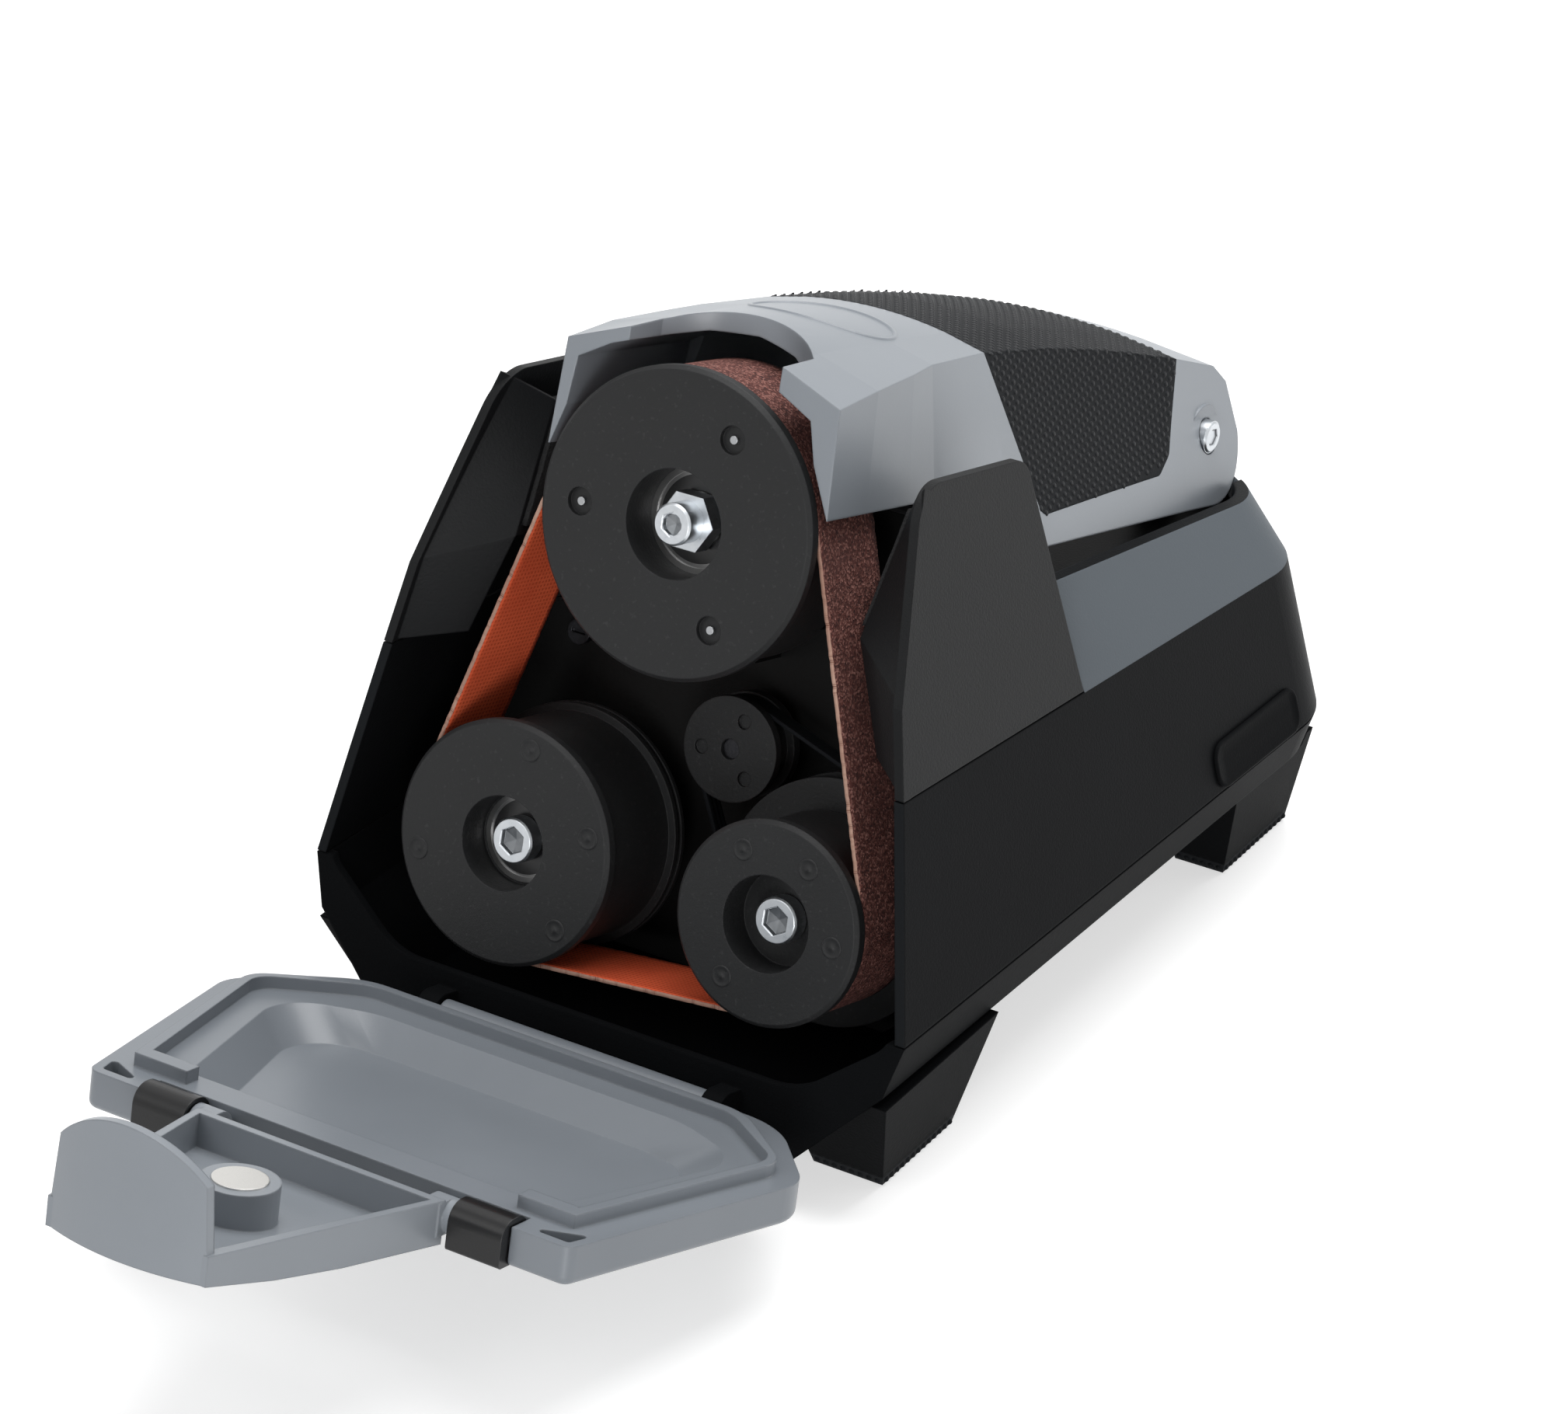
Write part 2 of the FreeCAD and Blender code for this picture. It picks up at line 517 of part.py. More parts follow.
def make_felt():
    """Right-hand felt strip on the belt side of the guard's inner wall."""
    rows = []
    for share in (FELT_MARGIN / 32.0, 1 - FELT_MARGIN / 32.0):
        u, v, n = [low + (high - low) * share for low, high in zip(INNER_MID, INNER_TOP)]
        front = Vec(u, v, n - FELT_MARGIN / 2)
        rear = Vec(u, v, INNER_REAR_N + FELT_MARGIN)
        thick = Vec(-FELT_THICKNESS, 0, 0)
        rows.append(section([front, rear, rear + thick, front + thick]))
    return leaning(loft(rows))


def make_foot(floor, top):
    """Right-hand foot post between its pad and the underside of the tray, with its pad."""
    def wire(box, z):
        x0, x1, y0, y1 = box
        return section([Vec(x0, y0, z), Vec(x1, y0, z), Vec(x1, y1, z), Vec(x0, y1, z)])
    share = PAD_HEIGHT / FOOT_TOP_Z
    at_pad = tuple(a + (b - a) * share for a, b in zip(floor, top))
    post = loft([wire(at_pad, PAD_HEIGHT), wire(top, FOOT_TOP_Z)]).cut(tray_outer).cut(ahead_of(RIM_N))
    pad = loft([wire(floor, 0.0), wire(at_pad, PAD_HEIGHT)])
    return post, pad


# Wheels, bearings and their fasteners

def wheel_blank(radius, depth, u, v):
    """Disc with a chamfered front edge."""
    disc = rod(radius, -depth, 0, u, v)
    wheel = disc.makeChamfer(FACE_CHAMFER, [disc.Edges[0]])
    track_rear = max(-depth - 1, BELT_FRONT_N - BELT_WIDTH - TRACK_SPARE)
    return wheel.cut(tube(radius + 1, radius - TRACK_DROP, track_rear, -WHEEL_LIP, u, v))


def pin_places():
    """Places of the pins round the top wheel's face."""
    turns = [math.radians(PIN_FIRST_ANGLE + k * 360 / PIN_COUNT) for k in range(PIN_COUNT)]
    return [(PIN_CIRCLE * math.cos(a), PIN_CIRCLE * math.sin(a)) for a in turns]


def make_top_wheel():
    """Large wheel with two bearing seats and dimples for the face pins."""
    wheel = wheel_blank(TOP_RADIUS, TOP_DEPTH, 0, 0)
    shoulder = TOP_DEPTH - BEARING_SET_BACK - 2 * TOP_BEARING_WIDTH
    seat = TOP_BEARING_OUTER + FIT / 2
    wheel = wheel.cut(rod(seat, -BEARING_SET_BACK - TOP_BEARING_WIDTH, 1))
    wheel = wheel.cut(rod(seat - 2 * shoulder, -TOP_DEPTH, 0))
    wheel = wheel.cut(rod(seat, -TOP_DEPTH - 1, -TOP_DEPTH + TOP_BEARING_WIDTH))
    for u, v in pin_places():
        wheel = wheel.cut(rod(DIMPLE_RADIUS, -DIMPLE_DEPTH, 1, u, v))
    return wheel


def make_left_wheel():
    """Idler wheel with a grooved rear flange behind the belt."""
    wheel = wheel_blank(LEFT_RADIUS, LEFT_DEPTH, LEFT_U, LEFT_V)
    groove_n = -LEFT_DEPTH + LEFT_GROOVE
    wheel = wheel.cut(tube(LEFT_RADIUS + 1, LEFT_RADIUS - TRACK_DROP, groove_n, groove_n + LEFT_GROOVE,
                           LEFT_U, LEFT_V))
    seat = SMALL_BEARING_OUTER + FIT / 2
    wheel = wheel.cut(rod(HUB_HOLE_RADIUS, -SMALL_BEARING_SET_BACK, 1, LEFT_U, LEFT_V))
    wheel = wheel.cut(rod(seat, -SMALL_BEARING_SET_BACK - SMALL_BEARING_WIDTH, 0, LEFT_U, LEFT_V))
    wheel = wheel.cut(rod(seat - 2, -LEFT_DEPTH, 0, LEFT_U, LEFT_V))
    return wheel.cut(rod(seat, -LEFT_DEPTH - 1, -LEFT_DEPTH + SMALL_BEARING_WIDTH, LEFT_U, LEFT_V))


def make_right_wheel():
    """Driven wheel, clamped on the drive shaft by its screw."""
    wheel = wheel_blank(RIGHT_RADIUS, RIGHT_DEPTH, RIGHT_U, RIGHT_V)
    wheel = wheel.cut(rod(HUB_HOLE_RADIUS, -SMALL_BEARING_SET_BACK, 1, RIGHT_U, RIGHT_V))
    return wheel.cut(rod(SMALL_BEARING_INNER, -RIGHT_DEPTH - 1, 0, RIGHT_U, RIGHT_V))


def make_pulley(radius, bore, u, v):
    """Flat-belt pulley with a flange at each end."""
    pulley = rod(radius, PULLEY_REAR_N, PULLEY_FRONT_N, u, v)
    pulley = pulley.cut(tube(radius + 1, radius - PULLEY_FLANGE, PULLEY_REAR_N + FLANGE_THICKNESS,
                             PULLEY_FRONT_N - FLANGE_THICKNESS, u, v))
    return pulley.cut(rod(bore, PULLEY_REAR_N - 1, PULLEY_FRONT_N + 1, u, v))


def make_drive_pulley():
    """Large pulley, hollowed from behind between its rim and its hub."""
    pulley = make_pulley(DRIVE_PULLEY_RADIUS, SMALL_BEARING_INNER, RIGHT_U, RIGHT_V)
    rim = DRIVE_PULLEY_RADIUS - PULLEY_FLANGE - FLANGE_THICKNESS
    hub = SMALL_BEARING_INNER + FLANGE_THICKNESS
    hollow = tube(rim, hub, PULLEY_REAR_N - 1, PULLEY_FRONT_N - FLANGE_THICKNESS, RIGHT_U, RIGHT_V)
    return pulley.cut(hollow)


def make_motor_pulley():
    """Small pulley on the motor shaft, with moulding dimples on its face."""
    pulley = make_pulley(MOTOR_PULLEY_RADIUS, MOTOR_SHAFT_RADIUS, MOTOR_U, MOTOR_V)
    for k in range(3):
        turn = math.radians(70 + 120 * k)
        reach = MOTOR_PULLEY_RADIUS * 0.62
        dimple = rod(MOTOR_PULLEY_RADIUS * 0.14, PULLEY_FRONT_N - 0.8, PULLEY_FRONT_N + 1,
                     MOTOR_U + reach * math.cos(turn), MOTOR_V + reach * math.sin(turn))
        pulley = pulley.cut(dimple)
    return pulley


# Lid and grip

def lid_wire(row, inset, drop):
    """One lid section: level bottom, leaning sides and a crowned top, drawn in by inset and down by drop."""
    n, bottom_half, bottom_v, edge_half, edge_v, crown_v = row
    share = 1 - (LID_SHOULDER / edge_half) ** 2
    gable = edge_v + (crown_v - edge_v) * 0.55
    crowned = edge_v + (crown_v - edge_v) * share
    shoulder_v = (gable if bottom_v > 0 else crowned) - inset
    flare = (bottom_half - edge_half) * drop / (edge_v - bottom_v)
    bottom = [Vec(side * (bottom_half - inset + flare), bottom_v - drop, n) for side in (-1, 1)]
    edge = [Vec(side * (edge_half - inset), edge_v - inset, n) for side in (-1, 1)]
    shoulder = [Vec(side * LID_SHOULDER, shoulder_v, n) for side in (-1, 1)]
    crown = Vec(0, crown_v - inset, n)
    return Part.Wire([
        Part.makeLine(bottom[0], bottom[1]),
        Part.makeLine(bottom[1], edge[1]),
        Part.makeLine(edge[1], shoulder[1]),
        Part.Arc(shoulder[1], crown, shoulder[0]).toShape(),
        Part.makeLine(shoulder[0], edge[0]),
        Part.makeLine(edge[0], bottom[0]),
    ])


def lid_loft(rows, inset=0.0, drop=0.0):
    """Solid through lid sections."""
    return loft([lid_wire(row, inset, drop) for row in rows])


def notch():
    """Arched notch in the lid's top, which the flap's nose fills."""
    front = RIM_N
    right = Vec(NOTCH_HALF, NOTCH_SIDE_N, 0)
    left = Vec(-NOTCH_HALF, NOTCH_SIDE_N, 0)
    wire = Part.Wire([
        Part.makeLine(Vec(-NOTCH_HALF, front, 0), Vec(NOTCH_HALF, front, 0)),
        Part.makeLine(Vec(NOTCH_HALF, front, 0), right),
        Part.Arc(right, Vec(0, NOTCH_APEX_N, 0), left).toShape(),
        Part.makeLine(left, Vec(-NOTCH_HALF, front, 0)),
    ])
    return top_plate(wire, TOP_RADIUS / 2, 2 * TOP_RADIUS)


def make_lid_and_grip():
    """Hood over the belt with a stepped mouth, hinged at the rear, and the soft grip let into its back."""
    blank = lid_loft(LID_SECTIONS)
    lobe = Part.Arc(Vec(PIVOT_V, PIVOT_N - LOBE_RADIUS, 0),
                    Vec(PIVOT_V - LOBE_RADIUS * math.sqrt(0.5), PIVOT_N - LOBE_RADIUS * math.sqrt(0.5), 0),
                    Vec(PIVOT_V - LOBE_RADIUS, PIVOT_N, 0))
    top = 2 * TOP_RADIUS
    corners = [(PIVOT_V - LOBE_RADIUS, PIVOT_N), (-TOP_RADIUS, PIVOT_N), (-TOP_RADIUS, RIM_N), (top, RIM_N),
               (top, PIVOT_N + 2 * LOBE_RADIUS), (38.0, PIVOT_N + 3), (27.0, PIVOT_N - 13),
               (PIVOT_V, PIVOT_N - LOBE_RADIUS)]
    points = [Vec(v, n, 0) for v, n in corners]
    straights = [Part.makeLine(a, b) for a, b in zip(points, points[1:])]
    outline = Part.Face(Part.Wire([lobe.toShape()] + straights))
    outline.Placement = FreeCAD.Placement(Vec(-FAR / 3, 0, 0), FreeCAD.Rotation(Vec(1, 1, 1), 120))
    blank = blank.common(outline.extrude(Vec(2 * FAR / 3, 0, 0)))

    mouth = []
    for angle, gap in LID_MOUTH:
        turn = math.radians(angle)
        mouth.append(((TOP_RADIUS + gap) * math.cos(turn), (TOP_RADIUS + gap) * math.sin(turn)))
    nose_rear = LID_SECTIONS[LID_NOSE_ROWS - 1][0]
    hollow = lid_loft(LID_SECTIONS[LID_NOSE_ROWS - 1:], LID_WALL, TOP_RADIUS)
    region = side_plate([(top, GRIP_FRONT_N), *GRIP_EDGE, (top, GRIP_REAR_N)], -FAR / 3, FAR / 3,
                        list(GRIP_ROUNDS))
    core = lid_loft(LID_SECTIONS[LID_NOSE_ROWS - 1:], GRIP_THICKNESS, TOP_RADIUS)
    grip = blank.common(region).cut(core)
    lid = blank.cut(plate(mouth, RIM_N, nose_rear)).cut(hollow).cut(notch()).cut(grip)
    for side in (1, -1):
        boss = cross_rod(PIVOT_BOSS_RADIUS, side * (EAR_OUTER + RUN_GAP), side * (PIVOT_SEAT_U + RUN_GAP),
                         PIVOT_V, PIVOT_N)
        hole = cross_rod(PIVOT_SCREW_RADIUS + FIT, side * (EAR_OUTER - 1), side * FAR / 3, PIVOT_V, PIVOT_N)
        seat = cross_rod(PIVOT_HEAD_RADIUS + RUN_GAP, side * PIVOT_SEAT_U, side * FAR / 3, PIVOT_V, PIVOT_N)
        lid = lid.fuse(boss).cut(hole).cut(seat)
    return leaning(lid), leaning(grip)


# Door and flap, drawn shut

def door_plate(inset, n_from, n_to, corner=None):
    """Door outline drawn in by inset, with its own corner radius where one is given."""
    points = mirrored([(BELLY_HALF - inset, DOOR_BOTTOM_V + inset), (DOOR_WIDE_HALF - inset, DOOR_WIDE_V),
                       (DOOR_TOP_HALF - inset, DOOR_TOP_V - inset)])
    low = corner or max(DOOR_CORNER - inset, DOOR_CORNER / 3)
    high = max(DOOR_CORNER / 7, 1.0)
    return plate(points, n_from, n_to, [low, low / 2, high, high, low / 2, low])


def make_door():
    """Door: thick plate with a sunk dish, a ridge that enters the opening, and its hinge barrel."""
    door = door_plate(0.0, DOOR_INNER_N, DOOR_OUTER_N)
    outer_edges = [e for e in door.Edges if e.BoundBox.ZMin > DOOR_OUTER_N - 0.01]
    door = door.makeFillet(DOOR_EDGE_ROUND, outer_edges)
    ridge_n = DOOR_INNER_N - RIDGE_HEIGHT
    ridge = door_plate(RIDGE_INSET, ridge_n, DOOR_INNER_N + 1)
    ridge = ridge.cut(door_plate(RIDGE_INSET + RIDGE_WIDTH, ridge_n - 1, DOOR_INNER_N + 2))
    ridge_end = DOOR_TOP_V - 3 * RIDGE_HEIGHT
    ridge = ridge.cut(Part.makeBox(2 * FAR, FAR, FAR, Vec(-FAR, ridge_end, -FAR / 2)))
    floor_n = DOOR_OUTER_N - DOOR_SKIN
    dish = loft([door_plate(DISH_INSET, DOOR_INNER_N - 1, DOOR_INNER_N, DISH_CORNER).Faces[-2].OuterWire,
                 door_plate(DISH_INSET + DISH_SLOPE, floor_n, floor_n + 1, DISH_CORNER).Faces[-2].OuterWire])
    pocket_v = DOOR_TOP_V - POCKET_WALL
    for side in (1, -1):
        step_outer = side * (DOOR_TOP_HALF - RIDGE_INSET - RIDGE_WIDTH / 2)
        step_inner = step_outer - side * STEP_LENGTH
        step = plate([(step_inner, ridge_end), (step_outer, ridge_end), (step_outer, ridge_end - STEP_WIDTH),
                      (step_inner, ridge_end - STEP_WIDTH)], ridge_n, DOOR_INNER_N + 1)
        ridge = ridge.fuse(step)
    door = door.cut(dish).fuse(ridge)
    for side in (1, -1):
        corners = [(side * (DOOR_TOP_HALF - POCKET_WIDTH), pocket_v), (side * (DOOR_TOP_HALF - 2), pocket_v),
                   (side * (DOOR_TOP_HALF - 0.3), pocket_v - POCKET_LENGTH)]
        pocket = plate(corners, DOOR_INNER_N - 1, floor_n, [1.0, 1.0, 1.0])
        door = door.cut(pocket)
    gap_v = FLAP_V - BUSH_HALF - RUN_GAP
    bush_end = BUSH_INNER + BUSH_LENGTH
    mouth = Part.makeBox(2 * (bush_end + RUN_GAP), FAR, FAR, Vec(-bush_end - RUN_GAP, gap_v, -FAR / 2))
    barrel = cross_rod(BARREL_RADIUS, -HINGE_HALF, HINGE_HALF, HINGE_V, HINGE_N)
    web_low, web_high = HINGE_N - BARREL_RADIUS * 0.7, HINGE_N + BARREL_RADIUS
    web_v = DOOR_BOTTOM_V + 2
    web = side_plate([(HINGE_V, web_low), (web_v, web_low), (web_v, web_high), (HINGE_V, web_high)],
                     -HINGE_HALF, HINGE_HALF)
    hole = cross_rod(HINGE_PIN_RADIUS + FIT, -HINGE_HALF - 1, HINGE_HALF + 1, HINGE_V, HINGE_N)
    door = door.cut(mouth).fuse(web).fuse(barrel).cut(hole)
    lug_reach = math.hypot(LUG_RADIUS, HINGE_N - RIM_N + 1) + RUN_GAP
    for side in (1, -1):
        inner = side * HINGE_HALF
        outer = inner + side * (LUG_WIDTH + 2 * RUN_GAP)
        door = door.cut(cross_rod(lug_reach, inner, outer, HINGE_V, HINGE_N))
    return door.removeSplitter()


def make_bush(side):
    """Black bush that carries one end of the flap's rod on the door's edge."""
    inner = side * BUSH_INNER
    outer = side * (BUSH_INNER + BUSH_LENGTH)
    low, high = FLAP_V - BUSH_HALF, FLAP_V + BUSH_HALF
    body = side_plate([(low, FLAP_N - BUSH_HALF), (high, FLAP_N - BUSH_HALF),
                       (high, DOOR_OUTER_N), (low, DOOR_OUTER_N)], inner, outer,
                      [BUSH_HALF * 0.9, BUSH_HALF * 0.9, 1.0, 0.0])
    return body.cut(cross_rod(ROD_RADIUS + FIT, inner - side, outer + side, FLAP_V, FLAP_N))


def flap_outline(inset, n_from, n_to):
    """Tapered flap outline drawn in by inset."""
    return plate(mirrored([(FLAP_HINGE_HALF - inset, FLAP_V + BUSH_HALF - 2 + inset),
                           (FLAP_NOSE_HALF - inset, FLAP_NOSE_V - inset)]), n_from, n_to)


def make_flap():
    """Flap: shallow tapered tray with a curved face, the arched nose wall and the magnet boss."""
    start = FLAP_V + BUSH_HALF - 2
    tip = FLAP_NOSE_V
    base_n = DOOR_OUTER_N - FLAP_NOSE_LIFT
    face_n = [(start, DOOR_OUTER_N), (0.0, DOOR_OUTER_N - FLAP_NOSE_LIFT * 0.2),
              (tip / 2, DOOR_OUTER_N - FLAP_NOSE_LIFT * 0.5), (tip, base_n)]
    wall_n = [(tip, FLAP_WALL_NOSE_N), (start, FLAP_WALL_HINGE_N)]
    tray = flap_outline(0.0, -FAR / 10, FAR / 10).common(side_plate(face_n + wall_n, -FAR / 3, FAR / 3))
    floor = [(v, n - FLAP_WALL) for v, n in face_n]
    above = floor + [(tip, -FAR / 10), (start, -FAR / 10)]
    hollow = flap_outline(FLAP_WALL, -FAR / 10, FAR / 10).common(side_plate(above, -FAR / 3, FAR / 3))
    tray = tray.cut(hollow)
    right = Vec(NOSE_TOP_HALF, NOSE_SIDE_N, 0)
    left = Vec(-NOSE_TOP_HALF, NOSE_SIDE_N, 0)
    foot_right = Vec(FLAP_NOSE_HALF, base_n, 0)
    foot_left = Vec(-FLAP_NOSE_HALF, base_n, 0)
    wire = Part.Wire([
        Part.makeLine(foot_left, foot_right),
        Part.makeLine(foot_right, right),
        Part.Arc(right, Vec(0, NOSE_APEX_N, 0), left).toShape(),
        Part.makeLine(left, foot_left),
    ])
    crown_axis = NOSE_CROWN_V - NOSE_CROWN_RADIUS
    crown = tube(NOSE_CROWN_RADIUS, NOSE_CROWN_RADIUS - FLAP_WALL, -FAR / 3, FAR / 3, 0, crown_axis)
    nose = top_plate(wire, TOP_RADIUS / 2, 2 * TOP_RADIUS).common(crown)
    boss = rod(BOSS_RADIUS, MAGNET_FACE_N + 0.4, DOOR_OUTER_N - 1.5)
    boss = boss.cut(rod(MAGNET_RADIUS, MAGNET_FACE_N - 1, MAGNET_FACE_N + MAGNET_HEIGHT))
    flap = tray.fuse(nose).fuse(boss)
    for side in (1, -1):
        outer = side * (BUSH_INNER - RUN_GAP)
        inner = side * (FLAP_HINGE_HALF - 2 * FLAP_WALL)
        ear = cross_rod(2 * ROD_RADIUS, inner, outer, FLAP_V, FLAP_N)
        arm = side_plate([(FLAP_V, FLAP_N - 2 * ROD_RADIUS), (start + 2, FLAP_N - 2 * ROD_RADIUS),
                          (start + 2, FLAP_N + 2 * ROD_RADIUS), (FLAP_V, FLAP_N + 2 * ROD_RADIUS)],
                         inner, side * FLAP_HINGE_HALF)
        flap = flap.fuse(ear).fuse(arm)
        flap = flap.cut(cross_rod(ROD_RADIUS, inner - side, outer + side, FLAP_V, FLAP_N))
    return flap.removeSplitter()


def opened(shape):
    """Carry a shut door piece to the part's frame and swing it open."""
    placed = leaning(shape)
    y, z = world_yz(HINGE_V, HINGE_N)
    placed.rotate(Vec(0, y, z), Vec(1, 0, 0), DOOR_OPEN)
    return placed


# Drive, carriage and controls

def bulkhead_points():
    """Outline of the bulkhead, clear of the case by the running gap."""
    rear_z = world_yz(0, BULKHEAD_REAR_N)[1]
    floor_v = (BELLY_Z + WALL + RUN_GAP - rear_z) / COS
    half_low = BELLY_HALF - 3 * WALL
    shoulder_v = crease_v(BULKHEAD_N)
    top_half = INNER_MID[0] - BULKHEAD_SIDE_GAP
    return mirrored([(half_low, floor_v), (SKIRT_HALF - 4 * WALL, floor_v + BULKHEAD_SKIRT_RISE),
                     (JOINT_HALF - 2 * WALL, floor_v + BULKHEAD_JOINT_RISE),
                     (CREASE_HALF - 2 * WALL, shoulder_v - WALL),
                     (top_half, shoulder_v + WALL), (top_half, BULKHEAD_TOP_V)])


def make_bulkhead():
    """Upright plate that carries the wheels, the motor and the carriage rails."""
    plate_ = plate(bulkhead_points(), BULKHEAD_REAR_N, BULKHEAD_N)
    plate_ = plate_.cut(rod(SMALL_BEARING_OUTER + 0.5, BULKHEAD_REAR_N - 1, BULKHEAD_N + 1, RIGHT_U, RIGHT_V))
    plate_ = plate_.cut(rod(MOTOR_SHAFT_RADIUS * 2.4, BULKHEAD_REAR_N - 1, BULKHEAD_N + 1, MOTOR_U, MOTOR_V))
    return plate_.cut(rod(SMALL_BEARING_INNER, BULKHEAD_REAR_N - 1, BULKHEAD_N + 1, LEFT_U, LEFT_V))


def make_rails():
    """Two rails and a spring seat on the bulkhead, between which the carriage slides."""
    shapes = []
    low = CARRIAGE_BOTTOM - CARRIAGE_TRAVEL - 2
    for side in (1, -1):
        inner = side * (CARRIAGE_HALF + FIT)
        outer = inner + side * RAIL_WIDTH
        high = CARRIAGE_TOP - RAIL_SHORT
        shapes.append(plate([(inner, low), (outer, low), (outer, high), (inner, high)],
                            BULKHEAD_N, CARRIAGE_FRONT_N - RAIL_SET_BACK))
    seat_v = CARRIAGE_BOTTOM - SPRING_LENGTH
    shapes.append(plate([(-SPRING_RADIUS * 2, seat_v - 3), (SPRING_RADIUS * 2, seat_v - 3),
                         (SPRING_RADIUS * 2, seat_v), (-SPRING_RADIUS * 2, seat_v)],
                        BULKHEAD_N, CARRIAGE_FRONT_N - 1))
    return Part.Compound(shapes)


def make_carriage():
    """Sliding block that holds the top wheel's axle."""
    back = BULKHEAD_N + RUN_GAP
    block = plate([(-CARRIAGE_HALF, CARRIAGE_BOTTOM), (CARRIAGE_HALF, CARRIAGE_BOTTOM),
                   (CARRIAGE_HALF, CARRIAGE_TOP), (-CARRIAGE_HALF, CARRIAGE_TOP)], back, CARRIAGE_FRONT_N,
                  [2.0, 2.0, 2.0, 2.0])
    return block.cut(rod(TOP_BEARING_INNER, back - 1, CARRIAGE_FRONT_N + 1))


def make_top_axle():
    """Stepped axle of the top wheel, from the carriage to the standoff."""
    shaft = rod(TOP_BEARING_INNER, BULKHEAD_N + RUN_GAP, -BEARING_SET_BACK + RUN_GAP)
    collar = rod(TOP_BEARING_INNER + 2, CARRIAGE_FRONT_N, -TOP_DEPTH - RUN_GAP)
    return shaft.fuse(collar)


def make_motor_can():
    """Motor can with a front plate against the bulkhead."""
    can = rod(MOTOR_RADIUS, MOTOR_REAR_N, BULKHEAD_REAR_N, MOTOR_U, MOTOR_V)
    can = can.cut(rod(MOTOR_RADIUS - MOTOR_WALL, MOTOR_REAR_N - 1, BULKHEAD_REAR_N - 3, MOTOR_U, MOTOR_V))
    return can.cut(rod(2 * MOTOR_SHAFT_RADIUS, BULKHEAD_REAR_N - 4, BULKHEAD_REAR_N + 1, MOTOR_U, MOTOR_V))


def make_motor_cap():
    """Rear cap of the motor, with vent holes."""
    cap = rod(MOTOR_RADIUS, MOTOR_REAR_N - 6, MOTOR_REAR_N, MOTOR_U, MOTOR_V)
    cap = cap.cut(rod(MOTOR_RADIUS - 2 * MOTOR_WALL, MOTOR_REAR_N - 3, MOTOR_REAR_N + 1, MOTOR_U, MOTOR_V))
    for k in range(6):
        turn = math.radians(60 * k)
        reach = MOTOR_RADIUS * 0.6
        cap = cap.cut(rod(3.5, MOTOR_REAR_N - 7, MOTOR_REAR_N, MOTOR_U + reach * math.cos(turn),
                          MOTOR_V + reach * math.sin(turn)))
    return cap.cut(rod(2 * MOTOR_SHAFT_RADIUS, MOTOR_REAR_N - 7, MOTOR_REAR_N + 1, MOTOR_U, MOTOR_V))


def make_motor_bushes():
    """Sintered bushes of the motor shaft, in the front plate and in the rear cap."""
    spans = ((BULKHEAD_REAR_N - 3, BULKHEAD_REAR_N), (MOTOR_REAR_N - 6, MOTOR_REAR_N - 3))
    return Part.Compound([tube(2 * MOTOR_SHAFT_RADIUS, MOTOR_SHAFT_RADIUS + FIT, low, high, MOTOR_U, MOTOR_V)
                          for low, high in spans])


def make_motor_magnets():
    """Two magnet shells inside the can."""
    ring = tube(MOTOR_RADIUS - MOTOR_WALL, ROTOR_RADIUS + MAGNET_AIR_GAP, MOTOR_REAR_N + MAGNET_REAR,
                BULKHEAD_REAR_N - MAGNET_FRONT, MOTOR_U, MOTOR_V)
    gap_corner = Vec(MOTOR_U - MAGNET_SPLIT / 2, MOTOR_V - 2 * MOTOR_RADIUS, -FAR)
    gap = Part.makeBox(MAGNET_SPLIT, 4 * MOTOR_RADIUS, 2 * FAR, gap_corner)
    return ring.cut(gap)


def make_rotor():
    """Motor shaft with its wound core and commutator."""
    shaft = rod(MOTOR_SHAFT_RADIUS, MOTOR_REAR_N - 8, PULLEY_FRONT_N - 1, MOTOR_U, MOTOR_V)
    core = rod(ROTOR_RADIUS, MOTOR_REAR_N + 18, BULKHEAD_REAR_N - 10, MOTOR_U, MOTOR_V)
    for k in range(5):
        turn = math.radians(72 * k)
        core = core.cut(rod(2.4, MOTOR_REAR_N, BULKHEAD_REAR_N, MOTOR_U + ROTOR_RADIUS * math.cos(turn),
                            MOTOR_V + ROTOR_RADIUS * math.sin(turn)))
    commutator = rod(ROTOR_RADIUS * 0.5, BULKHEAD_REAR_N - 10, BULKHEAD_REAR_N - 5, MOTOR_U, MOTOR_V)
    return shaft.fuse(core).fuse(commutator)


def make_fan():
    """Cooling fan on the motor shaft: a disc with straight blades."""
    front, back = MOTOR_REAR_N + FAN_FRONT, MOTOR_REAR_N + FAN_BACK
    reach = MOTOR_RADIUS - 2 * MOTOR_WALL
    fan = rod(reach, front - FAN_DISC, front, MOTOR_U, MOTOR_V)
    fan = fan.fuse(rod(2 * MOTOR_SHAFT_RADIUS, back, front, MOTOR_U, MOTOR_V))
    root = 1.5 * MOTOR_SHAFT_RADIUS
    for k in range(FAN_BLADES):
        blade = Part.makeBox(reach - FAN_DISC - root, FAN_BLADE_THICKNESS, front - back - FAN_DISC / 2,
                             Vec(root, -FAN_BLADE_THICKNESS / 2, back + FAN_DISC / 4))
        blade.rotate(Vec(0, 0, 0), Vec(0, 0, 1), 360.0 * k / FAN_BLADES)
        blade.translate(Vec(MOTOR_U, MOTOR_V, 0))
        fan = fan.fuse(blade)
    return fan.cut(rod(MOTOR_SHAFT_RADIUS, back - 1, front + 1, MOTOR_U, MOTOR_V))


